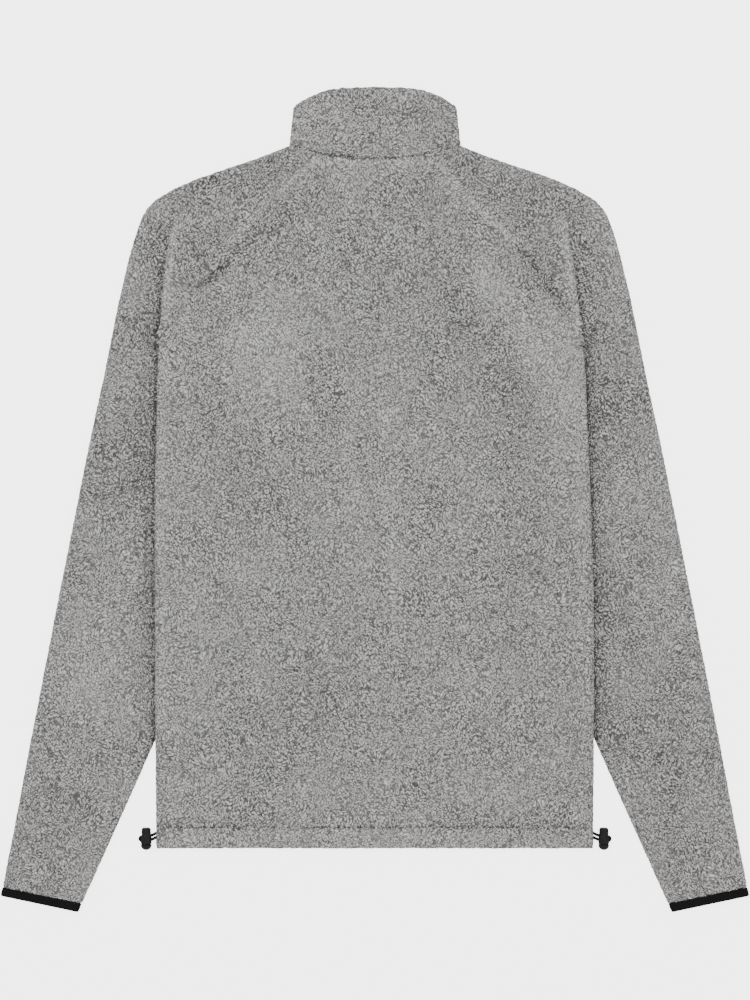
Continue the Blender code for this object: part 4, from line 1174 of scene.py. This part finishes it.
def sleeve_painted_shade(side):
    """Painted light and painted shade on one sleeve's pile."""
    def painted_shade(x, drop, z):
        """Painted shadow beside the body's fold, where the raised body shades the sleeve, a painted
        highlight on the fold's rim, and painted shade along the shoulder seam.
        """
        outside = np.abs(x) - fold_half(side, drop)
        # Painted shadow on the sleeve beside the body's fold, a line of painted shade at the fold and a
        # painted highlight on its rim
        value, start, width = FOLD_PAINTED_SHADOW
        fold = value * bell(np.maximum(outside - start, 0.0), width) * ease(outside, *FOLD_SHADOW_START)
        value, start, width = FOLD_LINE_PAINTED_SHADE
        fold = fold + value * bell(outside - start, width) * ease(drop, *FOLD_LINE_START)
        value, start, width = FOLD_RIM_PAINTED_HIGHLIGHT
        value = value + SHOULDER_RIM_HIGHLIGHT_GAIN * (1.0 - ease(drop, *SHOULDER_RIM_END))
        fold = fold + value * bell(outside - start, width)
        fold = fold * ease(drop, *FOLD_SHADE_START) * (1.0 - ease(drop, *FOLD_SHADE_END))
        shade = patches(x, drop, "sleeve_painted_shade") + fold * (z > SLEEVE_BACK_Z)
        # Painted shade on the shoulders, and painted light and shade along the seams
        shade = shade + soft_lines(x * sign_of(side), drop, SHOULDER_PAINTED_SHADE)
        return shade + soft_lines(x, drop, SEAM_PAINTED_SHADE + SLEEVE_PAINTED_SHADE) * (z > UPPER_LAYER_Z)
    return painted_shade


def sleeve_relief(side):
    """Relief of one sleeve."""
    def relief(x, drop, z):
        """A shallow drift, and the ridge of the raglan seam's turnings."""
        rise = patches(x, drop, "sleeve_" + side) + soft_lines(x * sign_of(side), drop, [SEAM_RIDGE])
        return rise * (z > UPPER_LAYER_Z)
    return relief


def collar_relief(x, drop, z):
    """A shallow drift alone."""
    return patches(x, drop, "collar_relief") * (z > UPPER_LAYER_Z)


def collar_painted_shade(x, drop, z):
    """Painted light low on the left, painted shade high on the right, and a dark wavering line of painted
    shade in the seam.
    """
    # Painted light and shade on the collar, with a random drift
    shade = patches(x, drop, "collar_painted_shade") + soft_lines(x, drop, COLLAR_PAINTED_SHADE)
    waver = patches(x, drop * 0.2, "collar_waver")
    # A wavering line of painted shade in the neck seam
    value, width = COLLAR_SEAM_PAINTED_SHADE
    return shade + value * bell(drop - back_neck_drop(x) - waver, width) * (z > UPPER_LAYER_Z)


def garment():
    """The six pieces of pile cloth, each over its own solid."""
    made = {"back": pile_cloth("back_cloth", *back_middle(), BACK_SPACING, 3, back_relief, back_painted_shade),
            "collar": pile_cloth("collar_cloth", *collar_middle(), COLLAR_SPACING, 4,
                                 collar_relief, collar_painted_shade)}
    for k, side in enumerate(SIDES):
        sleeve, front = "sleeve_" + side, "front_" + side
        made[sleeve] = pile_cloth(sleeve + "_cloth", *sleeve_middle(side), SLEEVE_SPACING, 6 + k,
                                  sleeve_relief(side), sleeve_painted_shade(side))
        made[front] = pile_cloth(front + "_cloth", *front_middle(side), UNDER_SPACING, 9 + k)
    return made


def cuff_cloth(side):
    """Binding with a rolled edge, ribs along it and a row of stitches.

    The outer face is the middle plus half the wall. Across the width it follows
    half an ellipse, along it a sine, and the stitches lie in a bell-shaped groove.
    """
    middle, keep = cuff_middle(side)
    grid, kept_cells = refine(middle, keep, CUFF_SPACING)
    points = place(grid)
    normals, kept = cell_normals(points, kept_cells)
    rows, columns = kept.shape
    share = np.linspace(0.0, 1.0, rows)[:, None]
    crown = CUFF_CROWN * (np.sqrt(np.clip(1.0 - (2.0 * share - 1.0) ** 2, 0.0, 1.0)) - 1.0)
    ribs = CUFF_RIBS[0] * np.sin(np.arange(columns) * CUFF_RIBS[1])
    depth, stitch_share, width = CUFF_STITCH
    outer = CUFF_CLOTH / 2.0 + crown + ribs + depth * bell(share - stitch_share, width)
    vertices = two_faces(points, normals, outer, CUFF_CLOTH / 2.0 - CUFF_INNER_SINK)
    cells = grid_quads(rows, columns).reshape(-1, 4)
    faces = np.concatenate([cells, cells[:, ::-1] + kept.size, skirt(cells, kept.size)])
    obj = mesh_object("cuff_%s_elastic" % side, vertices, faces)
    obj["cut"] = flat_cut(middle, keep)
    obj.data.materials.append(MATERIALS["knit"])
    return obj


def zip_teeth(side):
    """Half of the zip's coil: a row of squashed beads with eight sides, lower where the pull lies on them.

    A tooth's point is its centre plus an ellipse times its ring's size, at its ring's share of the height.
    """
    shift = 0.0 if side == "left" else TOOTH_PITCH / 2.0
    drops = np.arange(SLIDER_BOTTOM_DROP + TEETH_CLEAR[0], HEM_DROP - TEETH_CLEAR[1], TOOTH_PITCH) + shift
    face = np.where(drops < PULL_END_DROP, TOOTH_FACE_UNDER_PULL, TOOTH_FACE)[:, None, None]
    angles = np.linspace(0.0, 2.0 * math.pi, TOOTH_SIDES, endpoint=False)
    height, size = np.array(TOOTH_RINGS).T[..., None]
    points = np.empty((len(drops), len(TOOTH_RINGS), TOOTH_SIDES, 3))
    points[..., 0] = sign_of(side) * (TOOTH_CENTRE + TOOTH_HALF[0] * np.cos(angles) * size)
    points[..., 1] = drops[:, None, None] + TOOTH_HALF[1] * np.sin(angles) * size
    points[..., 2] = face + (TOOTH_FOOT - face) * height
    ring = np.arange(len(TOOTH_RINGS) * TOOTH_SIDES).reshape(-1, TOOTH_SIDES)
    beside = np.roll(ring, -1, axis=1)
    walls = np.stack([ring[:-1], ring[1:], beside[1:], beside[:-1]], axis=-1).reshape(-1, 4)
    caps = [end[[0, k, k + 1, k + 2]] for end in (ring[0], ring[-1, ::-1]) for k in (1, 3, 5)]
    quads = np.concatenate([walls, caps])
    if side == "left":
        quads = quads[:, ::-1]
    faces = quads + (np.arange(len(drops)) * ring.size)[:, None, None]
    teeth = mesh_object("zip_teeth_" + side, place(points.reshape(-1, 3)), faces.reshape(-1, 4))
    teeth.data.materials.append(MATERIALS["plastic"])
    return teeth


def cord_route(side):
    """Centreline of the drawcord's loop, in metres: out of the hem, slanting through the lock and back."""
    start = float(fold_half(side, CORD_LOCK_DROP)) + HEM_BAND_RISE - CORD_HEM_SINK
    loop_half = LOCK_HALF + LOCK_RADIUS - LOOP_INSET
    near_lock = LOCK_HALF - LOCK_RADIUS - 0.3
    strand = [(start, -CORD_HEM_RISE, CORD_EXIT_Z), (start + 1.6, -CORD_HEM_RISE * 0.75, CORD_EXIT_Z + 0.4),
              (near_lock, -CORD_LOCK_RISE, LOCK_Z - 0.1), (LOCK_HALF, 0.0, LOCK_Z),
              (loop_half, CORD_LOOP_FALL, LOCK_Z)]
    route = [(half, CORD_LOCK_DROP + rise - STRAND_HALF_GAP, z) for half, rise, z in strand]
    for angle in np.radians(np.linspace(-75.0, 75.0, 7)):
        along, beside = math.cos(angle) * STRAND_HALF_GAP, math.sin(angle) * STRAND_HALF_GAP
        route.append((loop_half + along, CORD_LOCK_DROP + CORD_LOOP_FALL + beside, LOCK_Z))
    route += [(half, CORD_LOCK_DROP + rise + STRAND_HALF_GAP, z) for half, rise, z in strand[::-1]]
    return place(mirror(side, np.array(route)))


def loop_cord(side):
    """Braided drawcord as a round tube along its route."""
    route = cord_route(side)
    curve = bpy.data.curves.new("cord_%s_loop" % side, 'CURVE')
    curve.dimensions = '3D'
    curve.bevel_depth = CORD_DIAMETER / 2.0 * MM
    curve.bevel_resolution = 3
    curve.use_fill_caps = True
    spline = curve.splines.new('POLY')
    spline.points.add(len(route) - 1)
    for target, point in zip(spline.points, route):
        target.co = (*point, 1.0)
    curve.materials.append(MATERIALS["cord"])
    cord = bpy.data.objects.new("cord_%s_loop" % side, curve)
    bpy.context.collection.objects.link(cord)
    length = float(np.linalg.norm(np.diff(route, axis=0), axis=1).sum())
    return cord, route, length


def pale_table():
    """Plain white table that glows a little where it is seen from above."""
    corners = [(x * TABLE_HALF, y * TABLE_HALF, TABLE_Z) for x, y in ((-1, -1), (1, -1), (1, 1), (-1, 1))]
    table_top = mesh_object("table_top", corners, [(0, 1, 2, 3)])
    white = Nodes("table_white", (0.9, 0.9, 0.9), 0.9)
    white.shader.inputs["Emission Color"].default_value = (1.0, 1.0, 1.0, 1.0)
    facing = white.node("ShaderNodeLayerWeight", Blend=0.5).outputs["Facing"]
    white.link(white.ramp(facing, 0.05, 0.12, TABLE_GLOW, 0.0), white.shader.inputs["Emission Strength"])
    table_top.data.materials.append(white.material)


def soft_light():
    """Even light from all round, and two large softboxes that face the jacket."""
    world = bpy.data.worlds.new("studio")
    bpy.context.scene.world = world
    world.use_nodes = True
    sky = world.node_tree.nodes["Background"]
    sky.inputs["Color"].default_value = (1.0, 1.0, 1.0, 1.0)
    sky.inputs["Strength"].default_value = WORLD_LIGHT
    for name, spot, size, power in SOFTBOXES:
        lamp = bpy.data.lights.new(name, 'AREA')
        lamp.shape = 'RECTANGLE'
        lamp.size, lamp.size_y = size
        lamp.energy = power
        box = bpy.data.objects.new(name, lamp)
        box.location = spot
        tilt = math.atan2(math.hypot(spot[0], spot[1]), spot[2])
        box.rotation_euler = (tilt, 0.0, math.atan2(-spot[1], -spot[0]) - math.pi / 2.0)
        bpy.context.collection.objects.link(box)


def picture_camera():
    """Camera straight above the jacket, as far away as the picture's height asks."""
    camera = bpy.data.cameras.new("camera")
    camera.lens = LENS
    camera.clip_start = 0.05
    camera_object = bpy.data.objects.new("camera", camera)
    camera_object.location = (0.0, PICTURE_CENTRE_Y, PICTURE_HEIGHT * LENS / SENSOR + PLANE_HEIGHT)
    bpy.context.collection.objects.link(camera_object)
    bpy.context.scene.camera = camera_object


def main():
    pale_table()
    soft_light()
    picture_camera()
    cloth = garment()
    for node, piece in cloth.items():
        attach(piece, "jacket")
        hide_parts(node)
    for side in SIDES:
        cuff = cuff_cloth(side)
        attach(cuff, "jacket")
        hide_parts("cuff_binding_" + side)
        teeth = zip_teeth(side)
        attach(teeth, "jacket")
        cord, route, length = loop_cord(side)
        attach(cord, "jacket")
        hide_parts("drawcord_" + side)
    for node, finish in NODE_FINISH.items():
        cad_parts[node].data.materials.clear()
        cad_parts[node].data.materials.append(MATERIALS[finish])


main()
